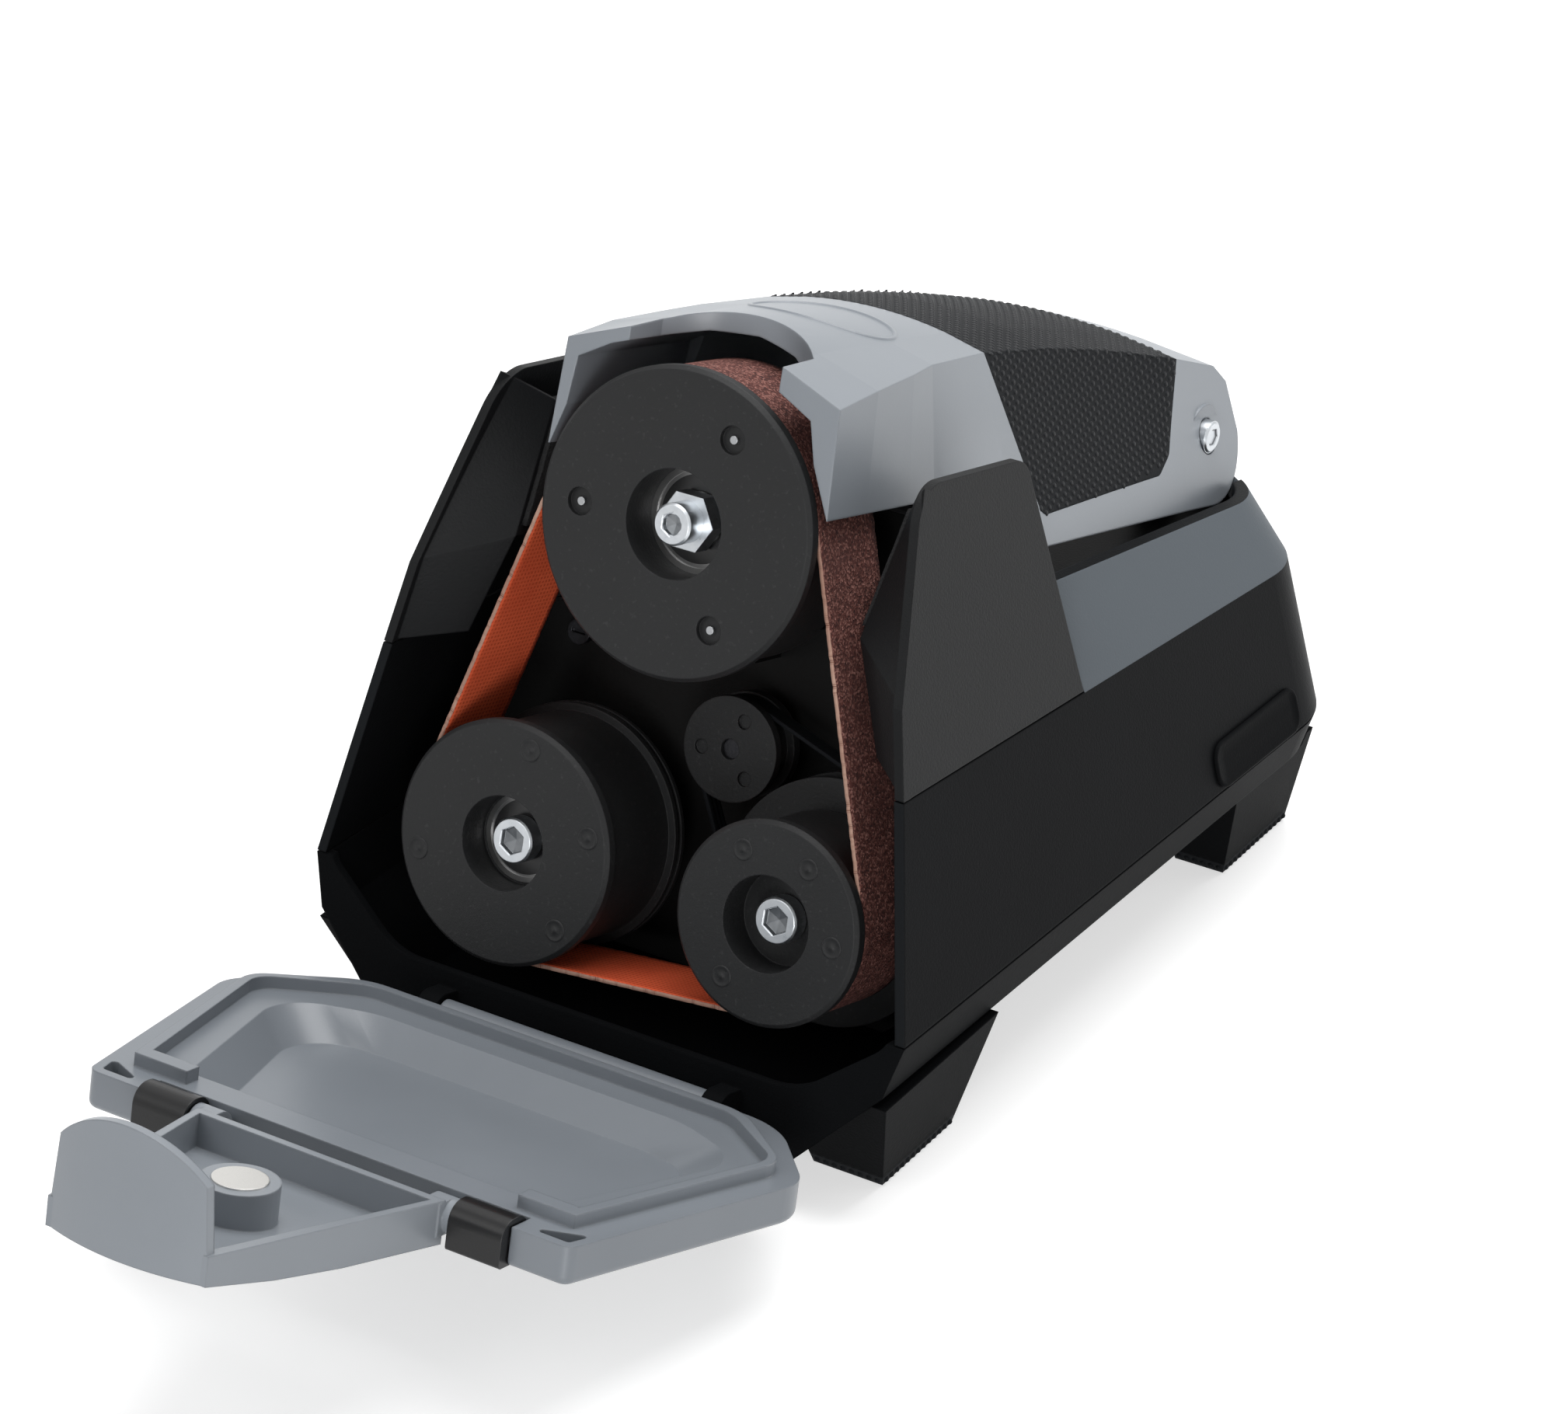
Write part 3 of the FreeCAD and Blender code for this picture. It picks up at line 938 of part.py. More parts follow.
def make_bearing_block():
    """Flanged block behind the bulkhead that holds the drive shaft's bearings."""
    length = 2 * SMALL_BEARING_WIDTH + 3
    block = rod(SMALL_BEARING_OUTER + BLOCK_WALL, BULKHEAD_REAR_N - length, BULKHEAD_REAR_N, RIGHT_U, RIGHT_V)
    bore = rod(SMALL_BEARING_OUTER, BULKHEAD_REAR_N - length - 1, BULKHEAD_REAR_N + 1, RIGHT_U, RIGHT_V)
    return block.cut(bore)


def wall_u(n):
    """Outer face of the left wall where a button passes it."""
    return -side_half(*world_yz(BUTTON_V, n))


def make_button(n, radius):
    """Push button: cap, retaining flange behind the wall and stem."""
    face_u = wall_u(n) - BUTTON_PROUD
    inside_u = wall_u(n) + 2 * WALL + BUTTON_FLANGE
    cap = cross_rod(radius, face_u, inside_u, BUTTON_V, n)
    front = [e for e in cap.Edges if e.BoundBox.XMax < face_u + 0.01]
    cap = cap.makeFillet(1.0, front)
    flange = cross_rod(radius + BUTTON_FLANGE, inside_u, inside_u + BUTTON_FLANGE, BUTTON_V, n)
    stem = cross_rod(radius / 2, inside_u, BOARD_U - SWITCH_HALF - BUTTON_TRAVEL - RUN_GAP, BUTTON_V, n)
    return cap.fuse(flange).fuse(stem)


def make_board():
    """Control board with its capacitor and chip blocks."""
    board = Part.makeBox(BOARD_THICKNESS, BOARD_TOP_V - BOARD_BOTTOM_V, BULKHEAD_REAR_N - 6 - BOARD_REAR_N,
                         Vec(BOARD_U, BOARD_BOTTOM_V, BOARD_REAR_N))
    face_u = BOARD_U + BOARD_THICKNESS
    for v, n, radius, height in CAPACITORS:
        board = board.fuse(cross_rod(radius, face_u, face_u + height, v, n))
    return board.fuse(Part.makeBox(*CHIP_SIZE, Vec(face_u, CHIP_V, CHIP_N)))


def make_switches():
    """Two switch blocks on the board, one behind each button's stem."""
    blocks = [Part.makeBox(SWITCH_HALF, 2 * SWITCH_HALF, 2 * SWITCH_HALF,
                           Vec(BOARD_U - SWITCH_HALF, BUTTON_V - SWITCH_HALF, n - SWITCH_HALF))
              for n in (POWER_N, PROGRAM_N)]
    return Part.Compound(blocks)


def make_board_brackets():
    """Two angle blocks that hold the board to the bulkhead."""
    blocks = []
    for v in (BOARD_BOTTOM_V + 3, BOARD_TOP_V - 11):
        blocks.append(Part.makeBox(5.0, 8.0, 14.0, Vec(BOARD_U - 5.0, v, BULKHEAD_REAR_N - 14.0)))
    return Part.Compound(blocks)


def make_inlet():
    """Two-pole mains inlet in the rear wall."""
    x0, z0 = INLET_X - INLET_WIDTH / 2, INLET_Z - INLET_HEIGHT / 2
    back_y = REAR_Y - INLET_DEPTH
    body = Part.makeBox(INLET_WIDTH - FIT, INLET_DEPTH, INLET_HEIGHT - FIT,
                        Vec(x0 + FIT / 2, back_y, z0 + FIT / 2))
    flange = Part.makeBox(INLET_WIDTH + 2 * INLET_FLANGE, INLET_FLANGE_THICKNESS,
                          INLET_HEIGHT + 2 * INLET_FLANGE, Vec(x0 - INLET_FLANGE, REAR_Y, z0 - INLET_FLANGE))
    inlet = body.fuse(flange)
    mouth = Part.makeBox(INLET_WIDTH - 2 * INLET_WALL, INLET_DEPTH, INLET_HEIGHT - 2 * INLET_WALL,
                         Vec(x0 + INLET_WALL, back_y + 2 * INLET_WALL, z0 + INLET_WALL))
    inlet = inlet.cut(mouth)
    for x in (-INLET_POLE_PITCH / 2, INLET_POLE_PITCH / 2):
        foot = Vec(INLET_X + x, back_y + INLET_WALL, INLET_Z)
        inlet = inlet.fuse(Part.makeCylinder(INLET_POLE_RADIUS, INLET_POLE_LENGTH, foot, Vec(0, 1, 0)))
    return inlet


def make_plaque():
    """Plain plaque on the right side, low at the rear."""
    def rows(offset):
        wires = []
        for y in (PLAQUE_Y - PLAQUE_LENGTH / 2, PLAQUE_Y + PLAQUE_LENGTH / 2):
            low = JOINT_Z + JOINT_SLOPE * y + PLAQUE_RISE
            high = low + PLAQUE_HEIGHT
            low_x, high_x = side_half(y, low), side_half(y, high)
            wires.append(section([Vec(low_x + offset, y, low), Vec(high_x + offset, y, high),
                                  Vec(high_x + RUN_GAP / 10, y, high), Vec(low_x + RUN_GAP / 10, y, low)]))
        return loft(wires)
    return rows(PLAQUE_THICKNESS)


def make_bulkhead_screws():
    """Cross screws along the bulkhead's lower edge and sides."""
    places = [(u, v) for u in (-48.0, 48.0) for v in (-112.0, -44.0)]
    screws = []
    for u, v in places:
        head = rod(SCREW_HEAD_RADIUS, BULKHEAD_N, BULKHEAD_N + SCREW_HEAD_HEIGHT, u, v)
        slot = Part.makeBox(4.0, 0.8, 1.0, Vec(u - 2.0, v - 0.4, BULKHEAD_N + SCREW_HEAD_HEIGHT - 0.8))
        screws.append(head.cut(slot))
    return Part.Compound(screws)


# Build every node in the part's frame

nodes["base_tray"] = make_base_tray()
nodes["upper_housing"] = make_upper_housing()
right_guard = make_guard()
right_felt = make_felt()
nodes["right_guard"] = right_guard
nodes["left_guard"] = flip(right_guard)
nodes["right_felt"] = right_felt
nodes["left_felt"] = flip(right_felt)

pads = []
feet = (("front", FOOT_FRONT_FLOOR, FOOT_FRONT_TOP), ("rear", FOOT_REAR_FLOOR, FOOT_REAR_TOP))
for place, floor_box, top_box in feet:
    post, pad = make_foot(floor_box, top_box)
    nodes["foot_" + place + "_right"] = post
    nodes["foot_" + place + "_left"] = flip(post)
    pads += [pad, flip(pad)]
nodes["foot_pads"] = Part.Compound(pads)

nodes["bulkhead"] = leaning(make_bulkhead())
nodes["bulkhead_screws"] = leaning(make_bulkhead_screws())
nodes["carriage_rails"] = leaning(make_rails())
seat_v = CARRIAGE_BOTTOM - SPRING_LENGTH
spring_n = (BULKHEAD_N + CARRIAGE_FRONT_N) / 2
spring_foot = Vec(0, seat_v + RUN_GAP, spring_n)
spring = Part.makeCylinder(SPRING_RADIUS, SPRING_LENGTH - 2 * RUN_GAP, spring_foot, Vec(0, 1, 0))
spring_core = Part.makeCylinder(SPRING_RADIUS - 1, SPRING_LENGTH, Vec(0, seat_v, spring_n), Vec(0, 1, 0))
nodes["tension_spring"] = leaning(spring.cut(spring_core))
nodes["tension_carriage"] = leaning(make_carriage())
nodes["top_axle"] = leaning(make_top_axle())

cap_back_n = CAP_HEAD_FRONT_N - CAP_HEAD_HEIGHT
standoff = hexagon(STANDOFF_FLATS, -BEARING_SET_BACK + RUN_GAP, cap_back_n)
nodes["top_standoff"] = leaning(standoff)
nodes["top_cap_screw"] = leaning(socket_screw(CAP_HEAD_RADIUS, CAP_HEAD_HEIGHT, CAP_SOCKET, CAP_HEAD_FRONT_N))
nodes["top_wheel"] = leaning(make_top_wheel())
face_pins = [rod(PIN_RADIUS, -DIMPLE_DEPTH, -DIMPLE_DEPTH / 3, u, v) for u, v in pin_places()]
nodes["top_wheel_pins"] = leaning(Part.Compound(face_pins))
top_bearings = [bearing(TOP_BEARING_OUTER, TOP_BEARING_INNER, TOP_BEARING_WIDTH, front)
                for front in (-BEARING_SET_BACK, -TOP_DEPTH + TOP_BEARING_WIDTH)]
nodes["top_bearings"] = leaning(Part.Compound(top_bearings))

nodes["left_wheel"] = leaning(make_left_wheel())
left_bearings = [bearing(SMALL_BEARING_OUTER, SMALL_BEARING_INNER, SMALL_BEARING_WIDTH, front, LEFT_U, LEFT_V)
                 for front in (-SMALL_BEARING_SET_BACK, -LEFT_DEPTH + SMALL_BEARING_WIDTH)]
nodes["left_bearings"] = leaning(Part.Compound(left_bearings))
left_head_n = -SMALL_BEARING_SET_BACK + RUN_GAP + FLAT_HEAD_HEIGHT
left_head = socket_screw(FLAT_HEAD_RADIUS, FLAT_HEAD_HEIGHT, FLAT_SOCKET, left_head_n, LEFT_U, LEFT_V)
shank_rear = BULKHEAD_REAR_N - NUT_HEIGHT
left_shank = rod(SMALL_BEARING_INNER, shank_rear, left_head_n - FLAT_HEAD_HEIGHT, LEFT_U, LEFT_V)
nodes["left_shoulder_screw"] = leaning(left_head.fuse(left_shank))
left_spacer = tube(SMALL_BEARING_INNER + SPACER_WALL, SMALL_BEARING_INNER, BULKHEAD_N,
                   -LEFT_DEPTH - RUN_GAP, LEFT_U, LEFT_V)
nodes["left_spacer"] = leaning(left_spacer)
left_nut = hexagon(STANDOFF_FLATS, BULKHEAD_REAR_N - NUT_HEIGHT, BULKHEAD_REAR_N, LEFT_U, LEFT_V)
nut_bore = rod(SMALL_BEARING_INNER, BULKHEAD_REAR_N - NUT_HEIGHT - 1, BULKHEAD_REAR_N + 1, LEFT_U, LEFT_V)
nodes["left_nut"] = leaning(left_nut.cut(nut_bore))

nodes["right_wheel"] = leaning(make_right_wheel())
block_length = 2 * SMALL_BEARING_WIDTH + 3
shaft_rear = BULKHEAD_REAR_N - block_length - 2
shaft = rod(SMALL_BEARING_INNER, shaft_rear, -SMALL_BEARING_SET_BACK, RIGHT_U, RIGHT_V)
nodes["drive_shaft"] = leaning(shaft)
nodes["right_screw"] = leaning(socket_screw(FLAT_HEAD_RADIUS, FLAT_HEAD_HEIGHT, FLAT_SOCKET,
                                            -SMALL_BEARING_SET_BACK + FLAT_HEAD_HEIGHT, RIGHT_U, RIGHT_V))
nodes["drive_pulley"] = leaning(make_drive_pulley())
nodes["bearing_block"] = leaning(make_bearing_block())
shaft_bearing_fronts = (BULKHEAD_REAR_N - 1, BULKHEAD_REAR_N - 2 - SMALL_BEARING_WIDTH)
shaft_bearings = [bearing(SMALL_BEARING_OUTER, SMALL_BEARING_INNER, SMALL_BEARING_WIDTH, front,
                          RIGHT_U, RIGHT_V) for front in shaft_bearing_fronts]
nodes["shaft_bearings"] = leaning(Part.Compound(shaft_bearings))

nodes["motor_pulley"] = leaning(make_motor_pulley())
nodes["motor_rotor"] = leaning(make_rotor())
nodes["motor_fan"] = leaning(make_fan())
nodes["motor_can"] = leaning(make_motor_can())
nodes["motor_cap"] = leaning(make_motor_cap())
nodes["motor_bushes"] = leaning(make_motor_bushes())
nodes["motor_magnets"] = leaning(make_motor_magnets())

belt_wheels = [(0.0, 0.0, TOP_RADIUS - TRACK_DROP), (LEFT_U, LEFT_V, LEFT_RADIUS - TRACK_DROP),
               (RIGHT_U, RIGHT_V, RIGHT_RADIUS - TRACK_DROP)]
nodes["abrasive_belt"] = leaning(belt(belt_wheels, BELT_THICKNESS, BELT_FRONT_N, BELT_FRONT_N - BELT_WIDTH))
belt_pulleys = [(MOTOR_U, MOTOR_V, MOTOR_PULLEY_RADIUS - PULLEY_FLANGE),
                (RIGHT_U, RIGHT_V, DRIVE_PULLEY_RADIUS - PULLEY_FLANGE)]
drive_front = PULLEY_FRONT_N - FLANGE_THICKNESS - RUN_GAP
drive_rear = PULLEY_REAR_N + FLANGE_THICKNESS + RUN_GAP
nodes["drive_belt"] = leaning(belt(belt_pulleys, DRIVE_BELT_THICKNESS, drive_front, drive_rear))

nodes["control_board"] = leaning(make_board())
nodes["board_brackets"] = leaning(make_board_brackets())
nodes["button_switches"] = leaning(make_switches())
nodes["power_button"] = leaning(make_button(POWER_N, POWER_RADIUS))
nodes["program_button"] = leaning(make_button(PROGRAM_N, PROGRAM_RADIUS))
nodes["mains_inlet"] = make_inlet()
nodes["side_plaque"] = make_plaque()

nodes["lid"], nodes["lid_grip"] = make_lid_and_grip()
pivot_screws = []
for side in (1, -1):
    seat_u = side * (PIVOT_SEAT_U + RUN_GAP)
    head = cross_rod(PIVOT_HEAD_RADIUS, seat_u, seat_u + side * PIVOT_HEAD_HEIGHT, PIVOT_V, PIVOT_N)
    shank = cross_rod(PIVOT_SCREW_RADIUS, side * (EAR_OUTER - EAR_THICKNESS), seat_u, PIVOT_V, PIVOT_N)
    pivot_screws.append(head.fuse(shank))
nodes["lid_pivot_screws"] = leaning(Part.Compound(pivot_screws))

nodes["door"] = opened(make_door())
nodes["flap_bushes"] = opened(Part.Compound([make_bush(1), make_bush(-1)]))
nodes["flap"] = opened(make_flap())
rod_reach = BUSH_INNER + BUSH_LENGTH
nodes["flap_rod"] = opened(cross_rod(ROD_RADIUS, -rod_reach, rod_reach, FLAP_V, FLAP_N))
nodes["flap_magnet"] = opened(rod(MAGNET_RADIUS, MAGNET_FACE_N, MAGNET_FACE_N + MAGNET_HEIGHT))
pin_inner, pin_outer = HINGE_HALF - HINGE_PIN_DEPTH, HINGE_HALF + RUN_GAP + LUG_WIDTH
hinge_pins = [cross_rod(HINGE_PIN_RADIUS, side * pin_inner, side * pin_outer, HINGE_V, HINGE_N)
              for side in (1, -1)]
nodes["door_hinge_pins"] = leaning(Part.Compound(hinge_pins))

# The origin is the middle of the footprint, on the floor, with the door open
box = FreeCAD.BoundBox()
for shape in nodes.values():
    box.add(shape.optimalBoundingBox())
ORIGIN = Vec((box.XMin + box.XMax) / 2, (box.YMin + box.YMax) / 2, box.ZMin)

os.makedirs("parts", exist_ok=True)
for name, shape in nodes.items():
    moved = shape.copy()
    moved.translate(ORIGIN * -1)
    moved.exportStep("parts/" + name + ".step")
    solids = moved.Solids
    volume = sum(s.Volume for s in solids) / 1000
    print(f"{name}: {len(solids)} solids, {volume:.2f} cm3, valid {moved.isValid()}")
print("origin", ORIGIN, "size", box.XLength, box.YLength, box.ZLength)
print("abrasive belt length", round(belt_loop(belt_wheels, BELT_GAP).Length, 1))
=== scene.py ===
# %% [markdown]
# # An electric belt knife sharpener, dressed
# The solids of the machine are already built. This lesson gives them their looks: moulded plastics, rubber,
# zinc and abrasive cloth, and the soft or wound pieces that a plain solid can't show.

# %% Load the frame
import math

import bmesh
import bpy
import numpy as np
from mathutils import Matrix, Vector
from mathutils.bvhtree import BVHTree


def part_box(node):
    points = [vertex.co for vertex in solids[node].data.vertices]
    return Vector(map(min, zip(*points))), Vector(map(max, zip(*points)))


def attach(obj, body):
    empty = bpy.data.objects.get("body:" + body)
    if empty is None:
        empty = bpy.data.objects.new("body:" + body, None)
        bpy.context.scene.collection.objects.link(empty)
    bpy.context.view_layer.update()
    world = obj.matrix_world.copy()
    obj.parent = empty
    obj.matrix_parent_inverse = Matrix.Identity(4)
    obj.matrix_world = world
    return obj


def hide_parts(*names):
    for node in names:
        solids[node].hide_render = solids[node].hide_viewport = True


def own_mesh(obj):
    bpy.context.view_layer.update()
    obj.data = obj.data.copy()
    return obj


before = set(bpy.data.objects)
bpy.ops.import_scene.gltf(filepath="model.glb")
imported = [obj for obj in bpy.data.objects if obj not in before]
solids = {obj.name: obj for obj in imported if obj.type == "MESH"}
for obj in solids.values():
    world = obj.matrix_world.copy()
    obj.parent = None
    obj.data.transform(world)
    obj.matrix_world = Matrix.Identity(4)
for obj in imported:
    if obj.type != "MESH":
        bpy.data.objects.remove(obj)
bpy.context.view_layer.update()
scene = bpy.context.scene

# %% [markdown]
# ## The camera
# The machine is seen from its right and from above, through a long lens. The lens and the place were worked
# out from the wheels' circles, so the picture has the same perspective.

# %% Camera
CAMERA_PLACE = (0.5903, -0.8711, 0.6756)
CAMERA_TURN = (61.26, 0.0, 32.53)
CAMERA_LENS, SENSOR_WIDTH = 117.6, 36.0
camera_data = bpy.data.cameras.new("camera")
camera_data.lens = CAMERA_LENS
camera_data.sensor_width = SENSOR_WIDTH
camera = bpy.data.objects.new("camera", camera_data)
camera.location = CAMERA_PLACE
camera.rotation_euler = [math.radians(a) for a in CAMERA_TURN]
scene.collection.objects.link(camera)
scene.camera = camera
scene.view_settings.view_transform = "Standard"
print("camera", CAMERA_PLACE, CAMERA_TURN)

# %% [markdown]
# ## Node helpers
# A material is a small graph. These helpers add a node, start a group that materials can share, place it and
# mix two colours, so each finish below reads as a short list of steps.


# %% Node helpers
def filled(tree, node, inputs):
    """The node, with a link or a plain value put on each input socket that is named or numbered."""
    for key, value in (inputs or {}).items():
        if isinstance(value, bpy.types.NodeSocket):
            tree.links.new(value, node.inputs[key])
        else:
            node.inputs[key].default_value = value
    return node


def add(tree, kind, inputs=None, **settings):
    """A shader node of that kind, with its settings and inputs."""
    made = tree.nodes.new("ShaderNode" + kind)
    for key, value in settings.items():
        setattr(made, key, value)
    return filled(tree, made, inputs)


def new_group(name, inputs, outputs):
    """An empty shader node group. Each socket is a name and a kind, and inputs have a start value."""
    group = bpy.data.node_groups.new(name, "ShaderNodeTree")
    for label, kind, value in inputs:
        socket = group.interface.new_socket(label, in_out="INPUT", socket_type="NodeSocket" + kind)
        if value is not None:
            socket.default_value = value
    for label, kind in outputs:
        group.interface.new_socket(label, in_out="OUTPUT", socket_type="NodeSocket" + kind)
    return group, group.nodes.new("NodeGroupInput"), group.nodes.new("NodeGroupOutput")


def placed(tree, group, inputs=None):
    """The shared group, placed in a material with its own values."""
    made = tree.nodes.new("ShaderNodeGroup")
    made.node_tree = group
    return filled(tree, made, inputs)


def mixed(tree, factor, first, second):
    """A colour that runs from the first to the second as factor goes from 0 to 1. Each is a socket or plain."""
    ends = [end if isinstance(end, bpy.types.NodeSocket) else (*end, 1) for end in (first, second)]
    mix = add(tree, "Mix", {"Factor": factor, "A": ends[0], "B": ends[1]}, data_type="RGBA")
    return mix.outputs["Result"]


# %% [markdown]
# ## Floor and light
# The machine stands on a white floor with a soft contact shadow. The floor keeps its shadow and adds a little
# of its own white for the camera and for reflections only, so that its glow lights no matt surface.

# %% Floor, backdrop and lamps
FLOOR_HALF, FLOOR_DROP, FLOOR_GLOW = 6.0, 0.0004, 0.6
SKY_LEVEL, SKY_SEEN = 0.45, 1.0
LAMP_AIM = Vector((0, 0, 0.08))
LAMPS = {  # place, width and power
    "key": ((-0.5, -1.6, 1.7), 1.3, 11.0),
    "top": ((0.1, 0.6, 1.9), 1.6, 42.0),
    "front": ((0.75, -1.4, 0.15), 0.5, 12.0),
    "rear_right": ((1.45, 1.6, 0.3), 0.9, 8.0),
}
floor_mesh = bpy.data.meshes.new("floor")
floor_corners = FLOOR_HALF * np.array([[-1, -1, 0], [1, -1, 0], [1, 1, 0], [-1, 1, 0]], float)
floor_corners[:, 2] = -FLOOR_DROP
floor_mesh.from_pydata(floor_corners.tolist(), [], [[0, 1, 2, 3]])
floor = bpy.data.objects.new("floor", floor_mesh)
scene.collection.objects.link(floor)


def seen_ray(tree):
    """1 for a ray from the camera, a mirror or glass, 0 for a ray that carries light to a surface."""
    path = add(tree, "LightPath")
    first = add(tree, "Math", {0: path.outputs["Is Camera Ray"], 1: path.outputs["Is Glossy Ray"]},
                operation="MAXIMUM")
    seen = add(tree, "Math", {0: first.outputs[0], 1: path.outputs["Is Transmission Ray"]}, operation="MAXIMUM")
    return seen.outputs[0]


floor_paint = bpy.data.materials.new("pale_floor")
floor_paint.use_nodes = True
floor_tree = floor_paint.node_tree
floor_bsdf = floor_tree.nodes["Principled BSDF"]
floor_bsdf.inputs["Base Color"].default_value = (0.55, 0.55, 0.55, 1)
floor_bsdf.inputs["Roughness"].default_value = 0.9
floor_bsdf.inputs["Specular IOR Level"].default_value = 0.0
floor_bsdf.inputs["Emission Color"].default_value = (1, 1, 1, 1)
floor_glow = add(floor_tree, "Math", {0: seen_ray(floor_tree), 1: FLOOR_GLOW}, operation="MULTIPLY")
floor_tree.links.new(floor_glow.outputs[0], floor_bsdf.inputs["Emission Strength"])
floor_mesh.materials.append(floor_paint)

world = bpy.data.worlds.new("studio")
world.use_nodes = True
scene.world = world
sky = world.node_tree
background = sky.nodes["Background"]
background.inputs["Color"].default_value = (1, 1, 1, 1)
sky_level = add(sky, "MapRange", {"Value": seen_ray(sky), "To Min": SKY_LEVEL, "To Max": SKY_SEEN})
sky.links.new(sky_level.outputs[0], background.inputs["Strength"])
for lamp_name, (place, size, power) in LAMPS.items():
    lamp_data = bpy.data.lights.new(lamp_name, "AREA")
    lamp_data.size = size
    lamp_data.energy = power
    lamp = bpy.data.objects.new(lamp_name, lamp_data)
    lamp.location = place
    lamp.rotation_euler = (LAMP_AIM - Vector(place)).to_track_quat("-Z", "Y").to_euler()
    scene.collection.objects.link(lamp)
print("lamps", sorted(LAMPS))

# %% [markdown]
# ## The wheels' own frame
# The wheel plane leans back by 16.75 degrees. Positions on the wheels are easiest in a leaning frame: u to
# the right, v up the plane, n out towards the user, in millimetres from the top wheel's front centre.

# %% Leaning frame
MM = 0.001
LEAN = math.radians(16.75)
WHEEL = np.array([-0.377, 7.392, 143.4])
AXES = np.array([[1, 0, 0], [0, math.sin(LEAN), math.cos(LEAN)], [0, -math.cos(LEAN), math.sin(LEAN)]])
TOP_CENTRE, LEFT_CENTRE, RIGHT_CENTRE = (0.0, 0.0), (-33.3, -87.2), (41.0, -85.7)
MOTOR_CENTRE = (7.2, -57.0)


def to_row(points):
    """Leaning (u, v, n) in mm to the row frame in metres: the wheel's centre, plus each number times its axis."""
    return (WHEEL + np.asarray(points, float) @ AXES) * MM


frame_group, group_in, group_out = new_group("leaning_frame", [("Vector", "Vector", None)], [("Frame", "Vector")])
shifted = add(frame_group, "VectorMath", {0: group_in.outputs[0], 1: tuple(WHEEL * MM)}, operation="SUBTRACT")
axis_values = []
for axis in AXES:
    turned_axis = add(frame_group, "VectorMath", {0: shifted.outputs[0], 1: tuple(axis / MM)},
                      operation="DOT_PRODUCT")
    axis_values.append(turned_axis.outputs["Value"])
joined = add(frame_group, "CombineXYZ", dict(zip("XYZ", axis_values)))
frame_group.links.new(joined.outputs[0], group_out.inputs[0])
print("wheel centre", to_row([0, 0, 0]))

# %% [markdown]
# ## Surfaces from arrays
# A new piece here is a grid of points, computed as one array, with the corner numbers of its squares worked
# out the same way. Doubled points at poles and seams are merged, and the object is left at the origin.

# %% Surface helpers
WELD = 1e-6


def grid_faces(rows, columns, ring_rows=False, ring_columns=False):
    """Corner numbers of each square of a grid; a ring joins the last row or column to the first."""
    i = np.arange(rows if ring_rows else rows - 1)[:, None]
    j = np.arange(columns if ring_columns else columns - 1)[None, :]
    right, below = (j + 1) % columns, (i + 1) % rows
    corners = [i * columns + j, i * columns + right, below * columns + right, below * columns + j]
    return np.stack(np.broadcast_arrays(*corners), -1).reshape(-1, 4)


def mounted(name, mesh, body, smooth=True):
    """An object for a finished mesh, left at the origin of the row frame and riding on a body."""
    mesh.polygons.foreach_set("use_smooth", np.full(len(mesh.polygons), smooth))
    piece = bpy.data.objects.new(name, mesh)
    scene.collection.objects.link(piece)
    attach(piece, body)
    return piece


def new_piece(name, points, faces, finishes, body, face_finish=None, uv=None, smooth=True):
    """A piece from arrays of points and faces, welded, with its normals turned outward."""
    mesh = bpy.data.meshes.new(name)
    mesh.from_pydata(np.asarray(points).reshape(-1, 3).tolist(), [], np.asarray(faces).tolist())
    for finish in finishes:
        mesh.materials.append(finish)
    if face_finish is not None:
        mesh.polygons.foreach_set("material_index", np.asarray(face_finish, np.int32))
    if uv is not None:
        corner_points = np.empty(len(mesh.loops), np.int32)
        mesh.loops.foreach_get("vertex_index", corner_points)
        layer = mesh.uv_layers.new(name="surface")
        layer.data.foreach_set("uv", np.asarray(uv, np.float32).reshape(-1, 2)[corner_points].ravel())
    work = bmesh.new()
    work.from_mesh(mesh)
    bmesh.ops.remove_doubles(work, verts=work.verts, dist=WELD)
    bmesh.ops.recalc_face_normals(work, faces=work.faces)
    work.to_mesh(mesh)
    work.free()
    return mounted(name, mesh, body, smooth)


# %% [markdown]
# ## Moulded grain, shared by the plastics
# Injection-moulded covers carry a fine spark-eroded grain. It has three sizes of noise: for the bumps, for
# slow drifts in tone and gloss, and for specks of dust. One group serves all the plastics and the rubber, and
# lends its drift to the bearings and the belt.

# %% Moulded grain group
TONE_DRIFT, GLOSS_DRIFT = 28.0, 0.015
SPECK_SCALE, SPECK_COLOUR = 900.0, (0.25, 0.25, 0.25)
# Painted reflection: the light grey that sloping faces are mixed towards, in place of a broad reflection.
PAINTED_REFLECTION_COLOUR = (0.150, 0.170, 0.190)
grain_group, group_in, group_out = new_group(
    "moulded_grain", [("Vector", "Vector", None), ("Grain", "Float", 2200.0), ("Drift", "Float", TONE_DRIFT)],
    [("Height", "Float"), ("Tone", "Float"), ("Speck", "Float")])
spot_in, grain_in, drift_in = group_in.outputs[:3]
grain_noise = add(grain_group, "TexNoise", {"Vector": spot_in, "Scale": grain_in, "Detail": 3.0, "Roughness": 0.6})
drift_noise = add(grain_group, "TexNoise", {"Vector": spot_in, "Scale": drift_in, "Detail": 4.0, "Roughness": 0.55})
speck_noise = add(grain_group, "TexNoise", {"Vector": spot_in, "Scale": SPECK_SCALE, "Detail": 2.0})
speck_mask = add(grain_group, "MapRange", {"Value": speck_noise.outputs[0], "From Min": 0.62, "From Max": 0.74})
grain_group.links.new(grain_noise.outputs[0], group_out.inputs["Height"])
grain_group.links.new(drift_noise.outputs[0], group_out.inputs["Tone"])
grain_group.links.new(speck_mask.outputs[0], group_out.inputs["Speck"])


